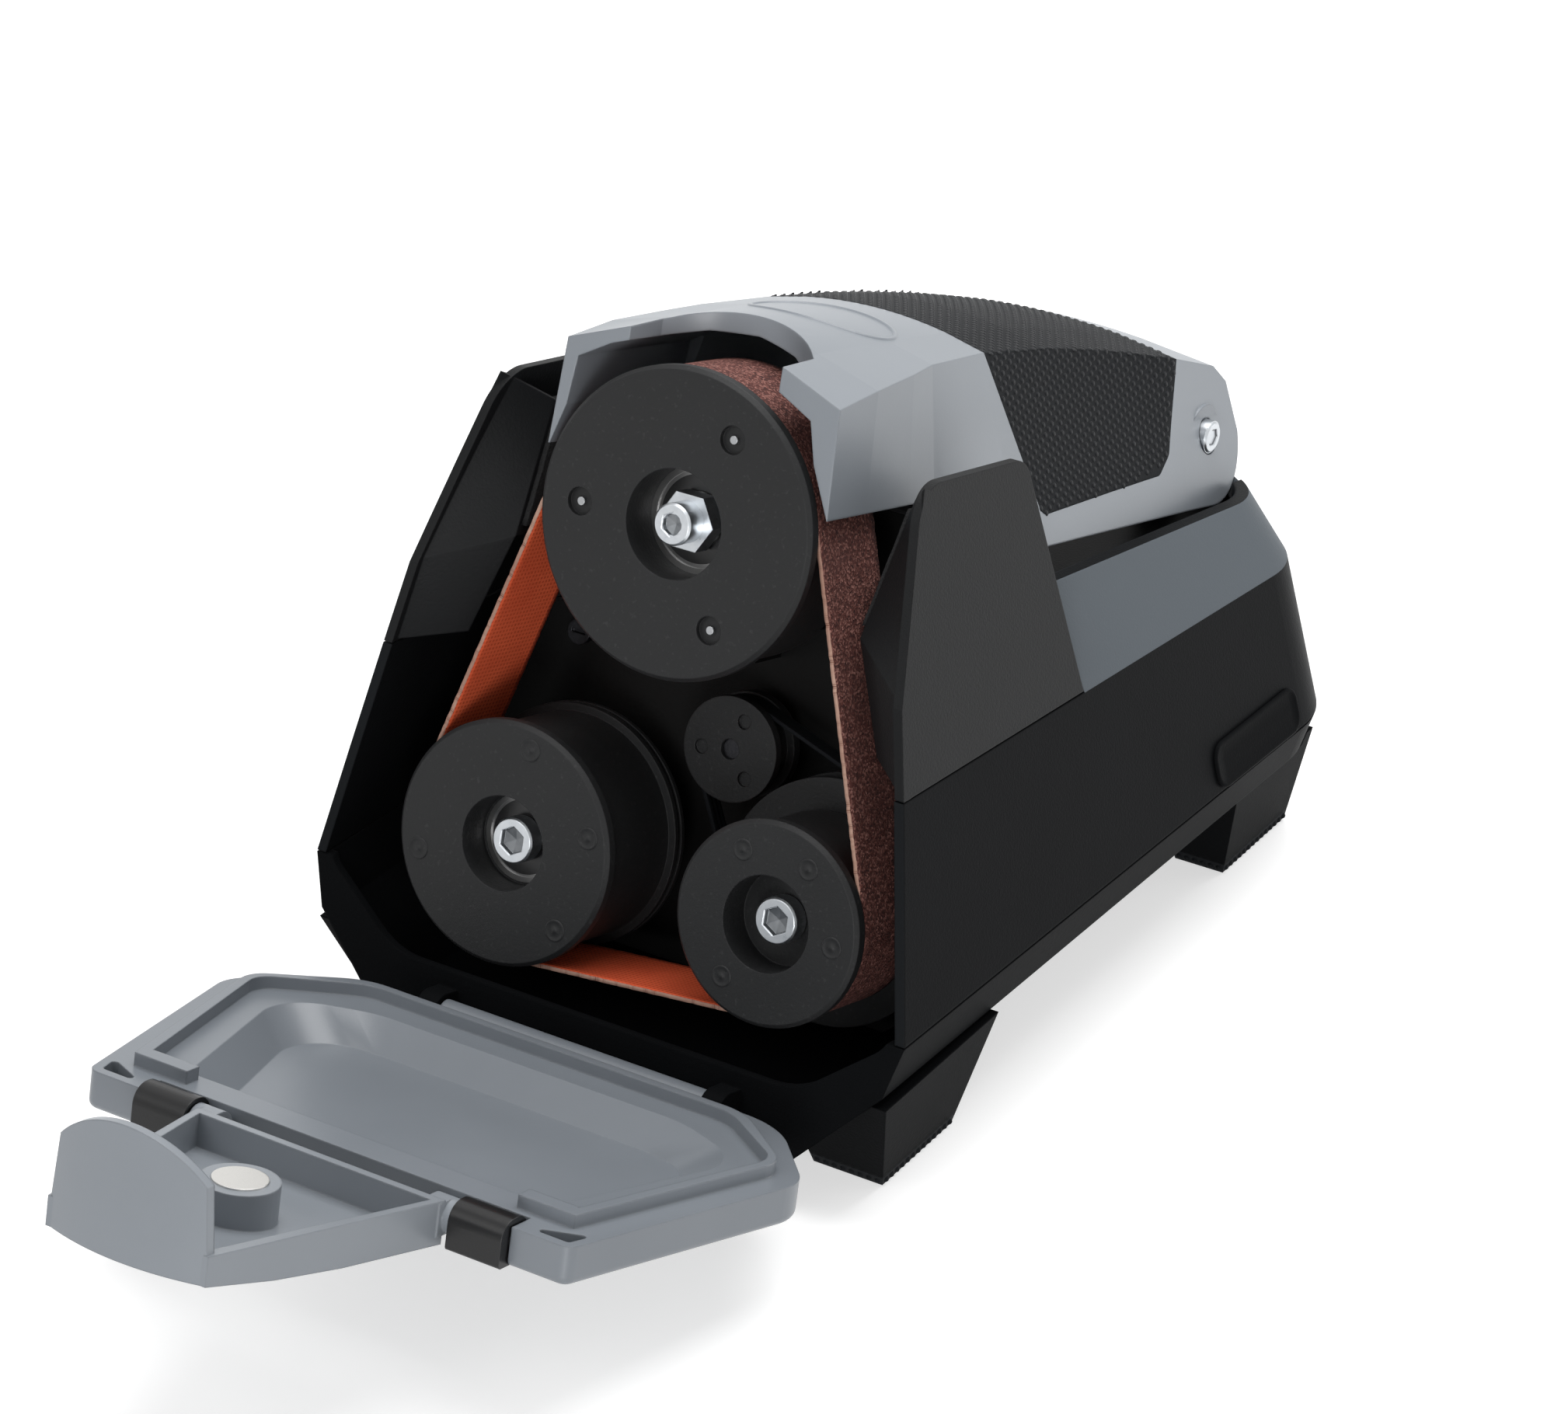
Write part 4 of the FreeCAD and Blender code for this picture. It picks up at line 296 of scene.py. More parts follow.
def bare_material(name, roughness, metallic=0.0, specular=0.5):
    """A Principled material whose unvarying numbers sit on the shader's own sockets."""
    material = bpy.data.materials.new(name)
    material.use_nodes = True
    shader = material.node_tree.nodes["Principled BSDF"]
    shader.inputs["Roughness"].default_value = roughness
    shader.inputs["Metallic"].default_value = metallic
    shader.inputs["Specular IOR Level"].default_value = specular
    return material, material.node_tree, shader


def moulded(name, dark, light, roughness, grain, depth, specular=0.5, edge=0.0005, specks=0.0, painted_reflection=0.0):
    """Moulded plastic: drifting tone and gloss, fine grain, and edges softened by their mould radius. A painted
    reflection is a light grey mixed into the colour of sloping faces, in place of a broad reflection. Upright and
    level faces get none."""
    material, tree, shader = bare_material(name, roughness, specular=specular)
    spot = add(tree, "TexCoord").outputs["Object"]
    surface = placed(tree, grain_group, {"Vector": spot, "Grain": grain, "Drift": TONE_DRIFT})
    colour = mixed(tree, surface.outputs["Tone"], dark, light)
    if specks:
        dust = add(tree, "Math", {0: surface.outputs["Speck"], 1: specks}, operation="MULTIPLY")
        colour = mixed(tree, dust.outputs[0], colour, SPECK_COLOUR)
    # Painted reflection: faces that slope, but are not level, are mixed towards a light grey by their normal's
    # height.
    if painted_reflection:
        facing = add(tree, "SeparateXYZ", {0: add(tree, "TexCoord").outputs["Normal"]}).outputs["Z"]
        sloping = add(tree, "MapRange", {"Value": facing, "From Min": 0.26, "From Max": 0.46, "To Max": painted_reflection},
                      interpolation_type="SMOOTHSTEP")
        not_level = add(tree, "MapRange", {"Value": facing, "From Min": 0.8, "From Max": 0.95,
                                           "To Min": 1.0, "To Max": 0.0}, interpolation_type="SMOOTHSTEP")
        painted_reflection_mask = add(tree, "Math", {0: sloping.outputs[0], 1: not_level.outputs[0]}, operation="MULTIPLY")
        colour = mixed(tree, painted_reflection_mask.outputs[0], colour, PAINTED_REFLECTION_COLOUR)
    tree.links.new(colour, shader.inputs["Base Color"])
    gloss = add(tree, "MapRange", {"Value": surface.outputs["Tone"], "From Min": 0.3, "From Max": 0.7,
                                   "To Min": roughness - GLOSS_DRIFT, "To Max": roughness + GLOSS_DRIFT})
    tree.links.new(gloss.outputs[0], shader.inputs["Roughness"])
    soft_edge = add(tree, "Bevel", {"Radius": edge}, samples=4)
    bump = add(tree, "Bump", {"Height": surface.outputs["Height"], "Strength": 0.6, "Distance": depth,
                              "Normal": soft_edge.outputs[0]})
    tree.links.new(bump.outputs[0], shader.inputs["Normal"])
    return material


# The case's sloping faces carry a painted reflection, a light grey mixed into the black.
CASE_BLACK = moulded("case_black", (0.0045, 0.0048, 0.0052), (0.0075, 0.008, 0.0088),
                     0.42, 1500.0, 0.00012, 0.02, 0.0008, painted_reflection=0.62)
TRAY_BLACK = moulded("tray_black", (0.0035, 0.0038, 0.0042), (0.006, 0.0064, 0.007),
                     0.42, 1500.0, 0.00012, 0.01, 0.0008)
GUARD_BLACK = moulded("guard_black", (0.0055, 0.0058, 0.0062), (0.0090, 0.0095, 0.0102),
                      0.48, 1500.0, 0.00014, 0.11)
INSIDE_BLACK = moulded("inside_black", (0.002, 0.002, 0.002), (0.004, 0.004, 0.004),
                       0.6, 900.0, 0.0001, 0.15)
WHEEL_BLACK = moulded("wheel_black", (0.0085, 0.0088, 0.0092), (0.0135, 0.0138, 0.0145),
                      0.5, 1300.0, 0.0001, 0.25, 0.0004, specks=0.04)
COVER_GREY = moulded("cover_grey", (0.188, 0.206, 0.228), (0.214, 0.233, 0.256),
                     0.34, 2600.0, 0.00003, 0.5, 0.0006)
DOOR_GREY = moulded("door_grey", (0.150, 0.166, 0.186), (0.178, 0.195, 0.216),
                    0.32, 2600.0, 0.00003, 0.5, 0.0006)
TRIM_BLACK = moulded("trim_black", (0.004, 0.004, 0.0044), (0.007, 0.007, 0.0075),
                     0.30, 1800.0, 0.00005, 0.35, 0.0004)
RUBBER = moulded("rubber", (0.0045, 0.0052, 0.0062), (0.008, 0.009, 0.0105),
                 0.6, 1000.0, 0.0002, 0.08)
STUD_RUBBER = moulded("stud_rubber", (0.005, 0.0058, 0.007), (0.009, 0.010, 0.012),
                      0.42, 1000.0, 0.0001, 0.14)
BOARD_GREEN = moulded("board_green", (0.01, 0.07, 0.03), (0.015, 0.10, 0.045),
                      0.4, 1200.0, 0.00005)

# %% [markdown]
# ## Metals
# The screws are zinc plated: bright, slightly clouded. The bearings have ground steel rings with a black
# rubber seal between them, so their colour changes with the distance from the wheel's axis.


# %% Metals
def metal(name, dark, light, roughness, streak=(1.0, 1.0, 1.0), relief=0.15):
    """Metal with clouded tone and a brushed or turned streak, from noise stretched along one axis."""
    material, tree, shader = bare_material(name, roughness, metallic=1.0)
    spot = add(tree, "TexCoord").outputs["Object"]
    framed = placed(tree, frame_group, {"Vector": spot})
    stretched = add(tree, "Mapping", {"Vector": framed.outputs[0], "Scale": streak})
    clouds = add(tree, "TexNoise", {"Vector": stretched.outputs[0], "Scale": 1.4, "Detail": 4.0})
    tree.links.new(mixed(tree, clouds.outputs[0], dark, light), shader.inputs["Base Color"])
    gloss = add(tree, "MapRange", {"Value": clouds.outputs[0],
                                   "To Min": roughness - 0.08, "To Max": roughness + 0.1})
    tree.links.new(gloss.outputs[0], shader.inputs["Roughness"])
    soft_edge = add(tree, "Bevel", {"Radius": 0.0003}, samples=4)
    bump = add(tree, "Bump", {"Height": clouds.outputs[0], "Strength": relief, "Distance": 0.0002,
                              "Normal": soft_edge.outputs[0]})
    tree.links.new(bump.outputs[0], shader.inputs["Normal"])
    return material


ZINC = metal("zinc", (0.46, 0.49, 0.52), (0.62, 0.64, 0.66), 0.3, (0.4, 0.4, 0.4), 0.02)
# The same zinc painted darker: painted shade for the faces inside a hex socket.
SOCKET_PAINTED_SHADE = metal("socket_painted_shade", (0.13, 0.14, 0.15), (0.24, 0.25, 0.26), 0.34, (0.4, 0.4, 0.4), 0.02)
STEEL = metal("ground_steel", (0.42, 0.42, 0.43), (0.58, 0.58, 0.58), 0.3, (1.0, 1.0, 6.0))
MOTOR_STEEL = metal("plated_steel", (0.30, 0.31, 0.32), (0.42, 0.43, 0.44), 0.34, (1.0, 1.0, 0.1))
BRONZE = metal("bronze", (0.42, 0.27, 0.11), (0.58, 0.40, 0.19), 0.42)
NICKEL = metal("nickel", (0.56, 0.55, 0.53), (0.74, 0.73, 0.70), 0.34, (3.0, 3.0, 3.0))
DARK_STEEL = metal("blackened_steel", (0.02, 0.02, 0.022), (0.05, 0.05, 0.055), 0.36)


def sealed_bearing(name, centre, seal_from, seal_to):
    """Steel rings with a black seal between two radii about an axis at (u, v), masked by the distance to it."""
    material, tree, shader = bare_material(name, 0.3)
    spot = add(tree, "TexCoord").outputs["Object"]
    framed = placed(tree, frame_group, {"Vector": spot})
    centred = add(tree, "VectorMath", {0: framed.outputs[0], 1: (*centre, 0.0)}, operation="SUBTRACT")
    flat = add(tree, "VectorMath", {0: centred.outputs[0], 1: (1.0, 1.0, 0.0)}, operation="MULTIPLY")
    radius = add(tree, "VectorMath", {0: flat.outputs[0]}, operation="LENGTH").outputs["Value"]
    past_inner = add(tree, "Math", {0: radius, 1: seal_from}, operation="GREATER_THAN")
    before_outer = add(tree, "Math", {0: radius, 1: seal_to}, operation="LESS_THAN")
    on_seal = add(tree, "Math", {0: past_inner.outputs[0], 1: before_outer.outputs[0]}, operation="MULTIPLY")
    seal = on_seal.outputs[0]
    clouds = placed(tree, grain_group, {"Vector": spot, "Grain": 1800.0, "Drift": 200.0})
    steel = mixed(tree, clouds.outputs["Tone"], (0.2, 0.2, 0.2), (0.32, 0.32, 0.32))
    tree.links.new(mixed(tree, seal, steel, (0.012, 0.012, 0.013)), shader.inputs["Base Color"])
    metal_part = add(tree, "Math", {0: 1.0, 1: seal}, operation="SUBTRACT")
    tree.links.new(metal_part.outputs[0], shader.inputs["Metallic"])
    return material


TOP_BEARING = sealed_bearing("top_bearing", TOP_CENTRE, 6.6, 10.6)
LEFT_BEARING = sealed_bearing("left_bearing", LEFT_CENTRE, 5.4, 9.2)
SHAFT_BEARING = sealed_bearing("shaft_bearing", RIGHT_CENTRE, 5.4, 9.2)

# %% [markdown]
# ## Every solid gets its finish
# The table names each solid once. Nothing is left with the plain colour that it was packed with.

# %% Finishes of the solids
FINISHES = {
    CASE_BLACK: "upper_housing",
    TRAY_BLACK: "base_tray foot_front_right foot_front_left foot_rear_right foot_rear_left side_plaque",
    GUARD_BLACK: "right_guard left_guard",
    INSIDE_BLACK: "bulkhead carriage_rails tension_carriage bearing_block board_brackets motor_fan",
    WHEEL_BLACK: "top_wheel left_wheel right_wheel drive_pulley motor_pulley",
    COVER_GREY: "lid flap",
    DOOR_GREY: "door",
    TRIM_BLACK: "flap_bushes power_button program_button mains_inlet button_switches flap_rod",
    RUBBER: "foot_pads lid_grip drive_belt left_felt right_felt abrasive_belt",
    ZINC: "top_standoff top_cap_screw left_shoulder_screw right_screw left_nut left_spacer "
          "door_hinge_pins lid_pivot_screws",
    DARK_STEEL: "bulkhead_screws motor_rotor",
    STEEL: "drive_shaft top_axle tension_spring",
    MOTOR_STEEL: "motor_can motor_cap motor_magnets top_wheel_pins",
    BRONZE: "motor_bushes",
    NICKEL: "flap_magnet",
    TOP_BEARING: "top_bearings",
    LEFT_BEARING: "left_bearings",
    SHAFT_BEARING: "shaft_bearings",
    BOARD_GREEN: "control_board",
}
dressed = set()
for finish, names in FINISHES.items():
    for node_name in names.split():
        for material_slot in solids[node_name].material_slots:
            material_slot.material = finish
        dressed.add(node_name)
print("finished", len(dressed), "left", sorted(set(solids) - dressed))

# %% [markdown]
# ## The abrasive belt
# The belt is a strip of coated cloth round three wheels: red-brown grit outside, rust-coloured woven backing
# inside and a pale, slightly frayed edge where the cloth was slit. Its path is made of straight tangents and
# arcs, the shape of a string pulled tight round three discs.


# %% Belt path
def tight_loop(discs, offset, step=1.2):
    """Points of a string round discs (u, v, radius), grown by offset. A tangent between two discs has a normal m
    with m . (b - a) = ra - rb. Round a disc the string follows the arc between the normals of its two tangents."""
    discs = np.asarray(discs, float)
    centres, radii = discs[:, :2], discs[:, 2] + offset
    ahead = np.roll(centres, -1, 0) - centres
    length = np.linalg.norm(ahead, axis=1)
    along = ahead / length[:, None]
    lift = (radii - np.roll(radii, -1)) / length
    right = np.stack([along[:, 1], -along[:, 0]], 1)
    normal = along * lift[:, None] + right * np.sqrt(1 - lift ** 2)[:, None]
    leave = np.arctan2(normal[:, 1], normal[:, 0])
    arrive = np.roll(leave, 1)
    turn = (leave - arrive) % (2 * math.pi)
    runs = []
    for k in range(len(discs)):
        angle = arrive[k] + turn[k] * np.linspace(0, 1, int(turn[k] * radii[k] / step) + 2)
        arc = centres[k] + radii[k] * np.stack([np.cos(angle), np.sin(angle)], 1)
        start, end = arc[-1], centres[(k + 1) % len(discs)] + radii[(k + 1) % len(discs)] * normal[k]
        share = np.linspace(0, 1, int(np.linalg.norm(end - start) / step) + 2)[1:-1, None]
        runs += [arc, start + share * (end - start)]
    return np.concatenate(runs)


def loop_normals(path):
    """Outward unit normals of a closed path: the chord between its neighbours, turned by a right angle."""
    chord = np.roll(path, -1, 0) - np.roll(path, 1, 0)
    chord /= np.linalg.norm(chord, axis=1)[:, None]
    return np.stack([chord[:, 1], -chord[:, 0]], 1)


def loop_lengths(path):
    """Distance along a closed path to each of its points."""
    steps = np.linalg.norm(np.roll(path, -1, 0) - path, axis=1)
    return np.concatenate([[0], np.cumsum(steps)[:-1]]), steps.sum()


BELT_DISCS = [(*TOP_CENTRE, 35.0), (*LEFT_CENTRE, 28.0), (*RIGHT_CENTRE, 22.7)]
BELT_CLEAR = 0.3
belt_inner = tight_loop(BELT_DISCS, BELT_CLEAR)
belt_along, belt_length = loop_lengths(belt_inner)
print("belt loop", round(belt_length, 1), "mm,", len(belt_inner), "points")

# %% [markdown]
# The belt's cross-section is a flat band with two narrow edge faces. Each edge wanders by a tenth of a
# millimetre or two, the sum of a few sine waves along the loop, so the slit cloth looks torn rather than
# machined.

# %% Belt surface
BELT_FRONT, BELT_REAR, BELT_THICK = -4.0, -29.4, 1.0
BELT_FRAY, ACROSS = 0.07, 14
GRIT_FACE, CLOTH_FACE, EDGE_FACE = range(3)
loop_turn = 2 * math.pi * belt_along / belt_length


def fray(turn, waves, size):
    """Edge wander: a sum of sine waves round the loop, each with its own count and phase."""
    return size * sum(np.sin(count * turn + 2.1 * count) / (1 + 0.15 * k) for k, count in enumerate(waves))


front_edge = BELT_FRONT + fray(loop_turn, (97, 151, 213, 307), BELT_FRAY)
rear_edge = BELT_REAR + fray(loop_turn, (89, 139, 227, 311), BELT_FRAY)
out_normal = loop_normals(belt_inner)
share = np.linspace(0, 1, ACROSS)
outer_n = front_edge[:, None] + share * (rear_edge - front_edge)[:, None]
outer_uv = belt_inner + BELT_THICK * out_normal
outer = np.concatenate([np.repeat(outer_uv[:, None, :], ACROSS, 1), outer_n[..., None]], 2)
inner = np.concatenate([np.repeat(belt_inner[:, None, :], ACROSS, 1), outer_n[:, ::-1, None]], 2)
band = np.concatenate([outer, inner], 1)
band_columns = 2 * ACROSS
belt_faces = grid_faces(len(band), band_columns, True, True)
column = np.tile(np.arange(band_columns), len(band))
on_edge = (column == ACROSS - 1) | (column == band_columns - 1)
belt_kind = np.select([on_edge, column < ACROSS - 1], [EDGE_FACE, GRIT_FACE], CLOTH_FACE)
belt_uv = np.stack([np.broadcast_to(belt_along[:, None], band.shape[:2]) * MM,
                    np.broadcast_to(band[..., 2] * MM, band.shape[:2])], -1)

# %% [markdown]
# The grit is a scatter of tiny crystals: cells of random tone, some bright, most dark red-brown. The cloth
# behind is a weave of two sets of waves, stained in slow patches.


# %% Belt finishes
def grit_finish():
    """Coated abrasive: cells of random tone, with each cell's distance to its middle as the bump."""
    material, tree, shader = bare_material("grit", 0.82, specular=0.3)
    spot = add(tree, "TexCoord").outputs["Object"]
    cells = add(tree, "TexVoronoi", {"Vector": spot, "Scale": 2100.0})
    noise = placed(tree, grain_group, {"Vector": spot, "Grain": 2600.0, "Drift": 60.0})
    ramp = add(tree, "ValToRGB")
    tree.links.new(cells.outputs["Color"], ramp.inputs["Fac"])
    stops = ramp.color_ramp.elements
    stops[0].position, stops[0].color = 0.12, (0.030, 0.009, 0.008, 1)
    stops[1].position, stops[1].color = 0.95, (0.36, 0.17, 0.14, 1)
    middle = stops.new(0.55)
    middle.color = (0.105, 0.032, 0.025, 1)
    wear = add(tree, "MapRange", {"Value": noise.outputs["Tone"],
                                  "From Min": 0.4, "From Max": 0.75, "To Max": 0.35})
    worn = mixed(tree, wear.outputs[0], ramp.outputs[0], (0.065, 0.026, 0.023))
    tree.links.new(worn, shader.inputs["Base Color"])
    bump = add(tree, "Bump", {"Height": cells.outputs["Distance"], "Strength": 0.8, "Distance": 0.0003})
    tree.links.new(bump.outputs[0], shader.inputs["Normal"])
    return material


def cloth_finish(name, dark, light, warp, weft):
    """Woven backing: two sets of waves along and across the strip, read from its own map."""
    material, tree, shader = bare_material(name, 0.85, specular=0.2)
    spot = add(tree, "TexCoord").outputs["UV"]
    body = add(tree, "TexCoord").outputs["Object"]
    threads = [add(tree, "TexWave", {"Vector": spot, "Scale": count / (2 * math.pi), "Distortion": 0.6,
                                     "Detail": 1.0}, bands_direction=way).outputs[1]
               for count, way in ((warp, "X"), (weft, "Y"))]
    weave = add(tree, "Math", {0: threads[0], 1: threads[1]}, operation="MAXIMUM")
    stain = placed(tree, grain_group, {"Vector": body, "Grain": 1600.0, "Drift": 45.0})
    blend = add(tree, "Math", {0: weave.outputs[0], 1: stain.outputs["Tone"]}, operation="MULTIPLY")
    tree.links.new(mixed(tree, blend.outputs[0], dark, light), shader.inputs["Base Color"])
    bump = add(tree, "Bump", {"Height": weave.outputs[0], "Strength": 0.5, "Distance": 0.0002})
    tree.links.new(bump.outputs[0], shader.inputs["Normal"])
    return material


GRIT = grit_finish()
BACKING = cloth_finish("belt_backing", (0.50, 0.055, 0.018), (1.0, 0.19, 0.075), 1700.0, 1400.0)
SLIT_EDGE = cloth_finish("belt_edge", (0.14, 0.045, 0.028), (0.62, 0.42, 0.33), 4200.0, 4200.0)
belt = new_piece("grinding_band", to_row(band), belt_faces, [GRIT, BACKING, SLIT_EDGE], "case",
                 belt_kind, belt_uv)
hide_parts("abrasive_belt")
print("belt faces", len(belt.data.polygons))

# %% [markdown]
# ## Drive belt
# A ribbed rubber belt carries the motor's pull to the right wheel. Its section is a closed profile, flat
# outside with three V ribs inside, carried round the path of the two pulleys.

# %% Drive belt surface
DRIVE_DISCS = [(*RIGHT_CENTRE, 28.0), (*MOTOR_CENTRE, 10.9)]
drive_path = tight_loop(DRIVE_DISCS, BELT_CLEAR, 1.0)
drive_normal = loop_normals(drive_path)
RIB_SECTION = np.array([(1.2, -32.9), (1.2, -38.1), (0.25, -38.1), (0.0, -37.2), (0.5, -36.4), (0.0, -35.5),
                        (0.5, -34.6), (0.0, -33.8), (0.25, -32.9)])
drive_uv = drive_path[:, None, :] + RIB_SECTION[None, :, :1] * drive_normal[:, None, :]
drive_n = np.broadcast_to(RIB_SECTION[:, 1], drive_uv.shape[:2])[..., None]
drive_points = np.concatenate([drive_uv, drive_n], 2)
drive = new_piece("ribbed_belt", to_row(drive_points), grid_faces(*drive_points.shape[:2], True, True), [RUBBER],
                  "case", smooth=False)
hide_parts("drive_belt")
print("drive belt faces", len(drive.data.polygons))

# %% [markdown]
# ## Tension spring
# The spring under the top wheel's carriage is a wire wound in a helix. It shortens as the carriage slides
# down, but here it is one fixed shape that rides on the case.

# %% Spring surface
SPRING_TURNS, SPRING_COIL, WIRE, WIRE_SIDES, WIRE_STEPS = 6.5, 3.4, 0.55, 10, 240
SPRING_LOW, SPRING_HIGH, SPRING_N = -32.7, -17.3, -39.5
wind = np.linspace(0, 2 * math.pi * SPRING_TURNS, WIRE_STEPS)
rise = np.linspace(SPRING_LOW + WIRE, SPRING_HIGH - WIRE, len(wind))
round_wire = np.linspace(0, 2 * math.pi, WIRE_SIDES, endpoint=False)
wire_reach = SPRING_COIL + WIRE * np.cos(round_wire)
spring_points = np.stack(np.broadcast_arrays(
    wire_reach * np.cos(wind)[:, None], rise[:, None] + WIRE * np.sin(round_wire),
    SPRING_N + wire_reach * np.sin(wind)[:, None]), -1)
first_ring = np.arange(WIRE_SIDES)
caps = [first_ring[::-1].tolist(), (first_ring + WIRE_SIDES * (len(wind) - 1)).tolist()]
spring_faces = grid_faces(len(wind), WIRE_SIDES, False, True).tolist() + caps
spring_mesh = bpy.data.meshes.new("wound_spring")
spring_mesh.from_pydata(to_row(spring_points).reshape(-1, 3).tolist(), [], spring_faces)
spring_mesh.materials.append(STEEL)
spring = mounted("wound_spring", spring_mesh, "case", smooth=False)
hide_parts("tension_spring")
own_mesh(spring)
print("spring turns", SPRING_TURNS)

# %% [markdown]
# ## Studs on the grip
# The soft grip on the lid is covered with small raised studs in a staggered pattern. Each stud is a low dome
# of a few faces. Its foot is found by looking straight at the grip from outside, and it stands along the
# surface there.

# %% Grip studs
STUD_PITCH, STUD_FOOT, STUD_RISE, STUD_MARGIN = 2.5, 0.85, 0.28, 1.4
GRIP_FRONT, GRIP_REAR = -68.0, -182.0
LOOK_FROM, FEWEST_HITS, WIDEST_GAP = 120.0, 8, 6.0
LOOK_ANGLES = np.radians(np.arange(-8.0, 188.0, 0.5))


def surface_tree(name):
    """A search tree over the rest-pose triangles of a solid, for looking straight at it."""
    mesh = solids[name].data
    return BVHTree.FromPolygons([v.co.copy() for v in mesh.vertices], [list(p.vertices) for p in mesh.polygons])


def stud_row(tree, n, shift):
    """Feet and facings of one row. The grip's outline at depth n is walked in even steps from the middle, shifted by
    a share of the pitch. A stud is left out where the outline jumps."""
    axis_point = to_row([0.0, 0.0, n])
    hits = []
    for angle in LOOK_ANGLES:
        outward = to_row([math.cos(angle), math.sin(angle), n]) - axis_point
        outward /= np.linalg.norm(outward)
        spot, normal, *_ = tree.ray_cast(Vector(axis_point + outward * LOOK_FROM * MM), Vector(-outward))
        if spot is not None:
            hits.append((np.array(spot), np.array(normal)))
    if len(hits) < FEWEST_HITS:
        return np.empty((0, 3)), np.empty((0, 3))
    line, line_normals = (np.array(part) for part in zip(*hits))
    steps = np.linalg.norm(np.diff(line, axis=0), axis=1)
    along = np.concatenate([[0], np.cumsum(steps)])
    pitch, margin = STUD_PITCH * MM, STUD_MARGIN * MM
    middle = along[np.abs(line[:, 0] - WHEEL[0] * MM).argmin()] + shift * pitch
    first, last = math.ceil((margin - middle) / pitch), math.floor((along[-1] - margin - middle) / pitch)
    wanted = middle + pitch * np.arange(first, last + 1)
    pick = np.searchsorted(along, wanted)
    clear = steps[np.maximum(pick - 1, 0)] < WIDEST_GAP * MM
    spots = np.stack([np.interp(wanted, along, line[:, i]) for i in range(3)], 1)
    return spots[clear], line_normals[pick][clear]


grip_tree = surface_tree("lid_grip")
rows_n = np.arange(GRIP_FRONT, GRIP_REAR, -STUD_PITCH * math.sqrt(0.75))
stud_rows = [stud_row(grip_tree, n, 0.5 * (index % 2)) for index, n in enumerate(rows_n)]
stud_feet, stud_facing = (np.concatenate(part) for part in zip(*stud_rows))
stud_facing /= np.linalg.norm(stud_facing, axis=1)[:, None]
print("studs", len(stud_feet))

# %% Dome surface
DOME = np.array([(1.0, -0.12), (0.8, 0.55), (0.42, 0.95)])
DOME_SIDES = 8


def dome_piece(name, feet, facing, foot, rise, across, finish, body):
    """Domes as one surface: rings that shrink as they rise along each facing, then a tip. Each ring is a circle in
    the plane square to the facing, found with two cross products."""
    side_on = np.cross(facing, np.array(across))
    side_on /= np.linalg.norm(side_on, axis=1)[:, None]
    front_on = np.cross(facing, side_on)
    around = np.linspace(0, 2 * math.pi, DOME_SIDES, endpoint=False)
    spread = np.cos(around)[:, None, None] * side_on + np.sin(around)[:, None, None] * front_on
    rings = [feet + MM * (foot * r * spread + rise * h * facing) for r, h in DOME]
    tips = feet + MM * rise * facing
    points = np.concatenate([np.stack(rings, 0).reshape(-1, *feet.shape), tips[None]], 0)
    points = np.swapaxes(points, 0, 1)
    per_dome = points.shape[1]
    ring_faces = grid_faces(len(DOME), DOME_SIDES, False, True)
    tip_ring = (len(DOME) - 1) * DOME_SIDES
    sides = np.arange(DOME_SIDES)
    tip_faces = np.stack([tip_ring + sides, tip_ring + (sides + 1) % DOME_SIDES,
                          np.full(DOME_SIDES, per_dome - 1)], 1)
    base = per_dome * np.arange(len(feet))[:, None, None]
    mesh = bpy.data.meshes.new(name)
    mesh.from_pydata(points.reshape(-1, 3).tolist(), [],
                     (base + ring_faces).reshape(-1, 4).tolist() + (base + tip_faces).reshape(-1, 3).tolist())
    mesh.materials.append(finish)
    mounted(name, mesh, body)
    print(name, "faces", len(mesh.polygons))


dome_piece("grip_studs", stud_feet, stud_facing, STUD_FOOT, STUD_RISE, (0.0, 1.0, 0.0), STUD_RUBBER, "lid")

# %% [markdown]
# ## Nubs on the feet
# The rubber pads have a nubbed edge that grips the table. Points are spaced along each pad's outline, and a
# small dome faces out of the outline at each one.

# %% Foot nubs
NUB_PITCH, NUB_FOOT, NUB_RISE, NUB_LEVEL = 2.3, 1.0, 0.9, 1.25
sole = np.array([v.co for v in solids["foot_pads"].data.vertices if v.co.z < 0.5 * MM])
middle_x, middle_y = (sole.max(0) + sole.min(0))[:2] / 2
nub_feet, nub_facing = [], []
for to_right in (True, False):
    for to_rear in (True, False):
        corners = sole[((sole[:, 0] > middle_x) == to_right) & ((sole[:, 1] > middle_y) == to_rear)][:, :2]
        centre = corners.mean(0)
        corners = corners[np.argsort(np.arctan2(*(corners - centre).T[::-1]))]
        for start, end in zip(corners, np.roll(corners, -1, axis=0)):
            span = np.linalg.norm(end - start)
            if span < NUB_PITCH * MM:
                continue
            along_edge = (end - start) / span
            count = int(span / (NUB_PITCH * MM))
            for share in (np.arange(count) + 0.5) / count:
                nub_feet.append([*(start + share * (end - start)), NUB_LEVEL * MM])
                nub_facing.append([along_edge[1], -along_edge[0], 0.0])
dome_piece("foot_nubs", np.array(nub_feet), np.array(nub_facing), NUB_FOOT, NUB_RISE, (0.0, 0.0, 1.0), RUBBER,
           "case")

# %% [markdown]
# ## Plaque on the side
# The bare plaque on the right wall has rounded corners. Its outline is a rectangle with quarter circles, laid
# on the four corners of the plain solid's outer face by mixing them in proportion along both ways.

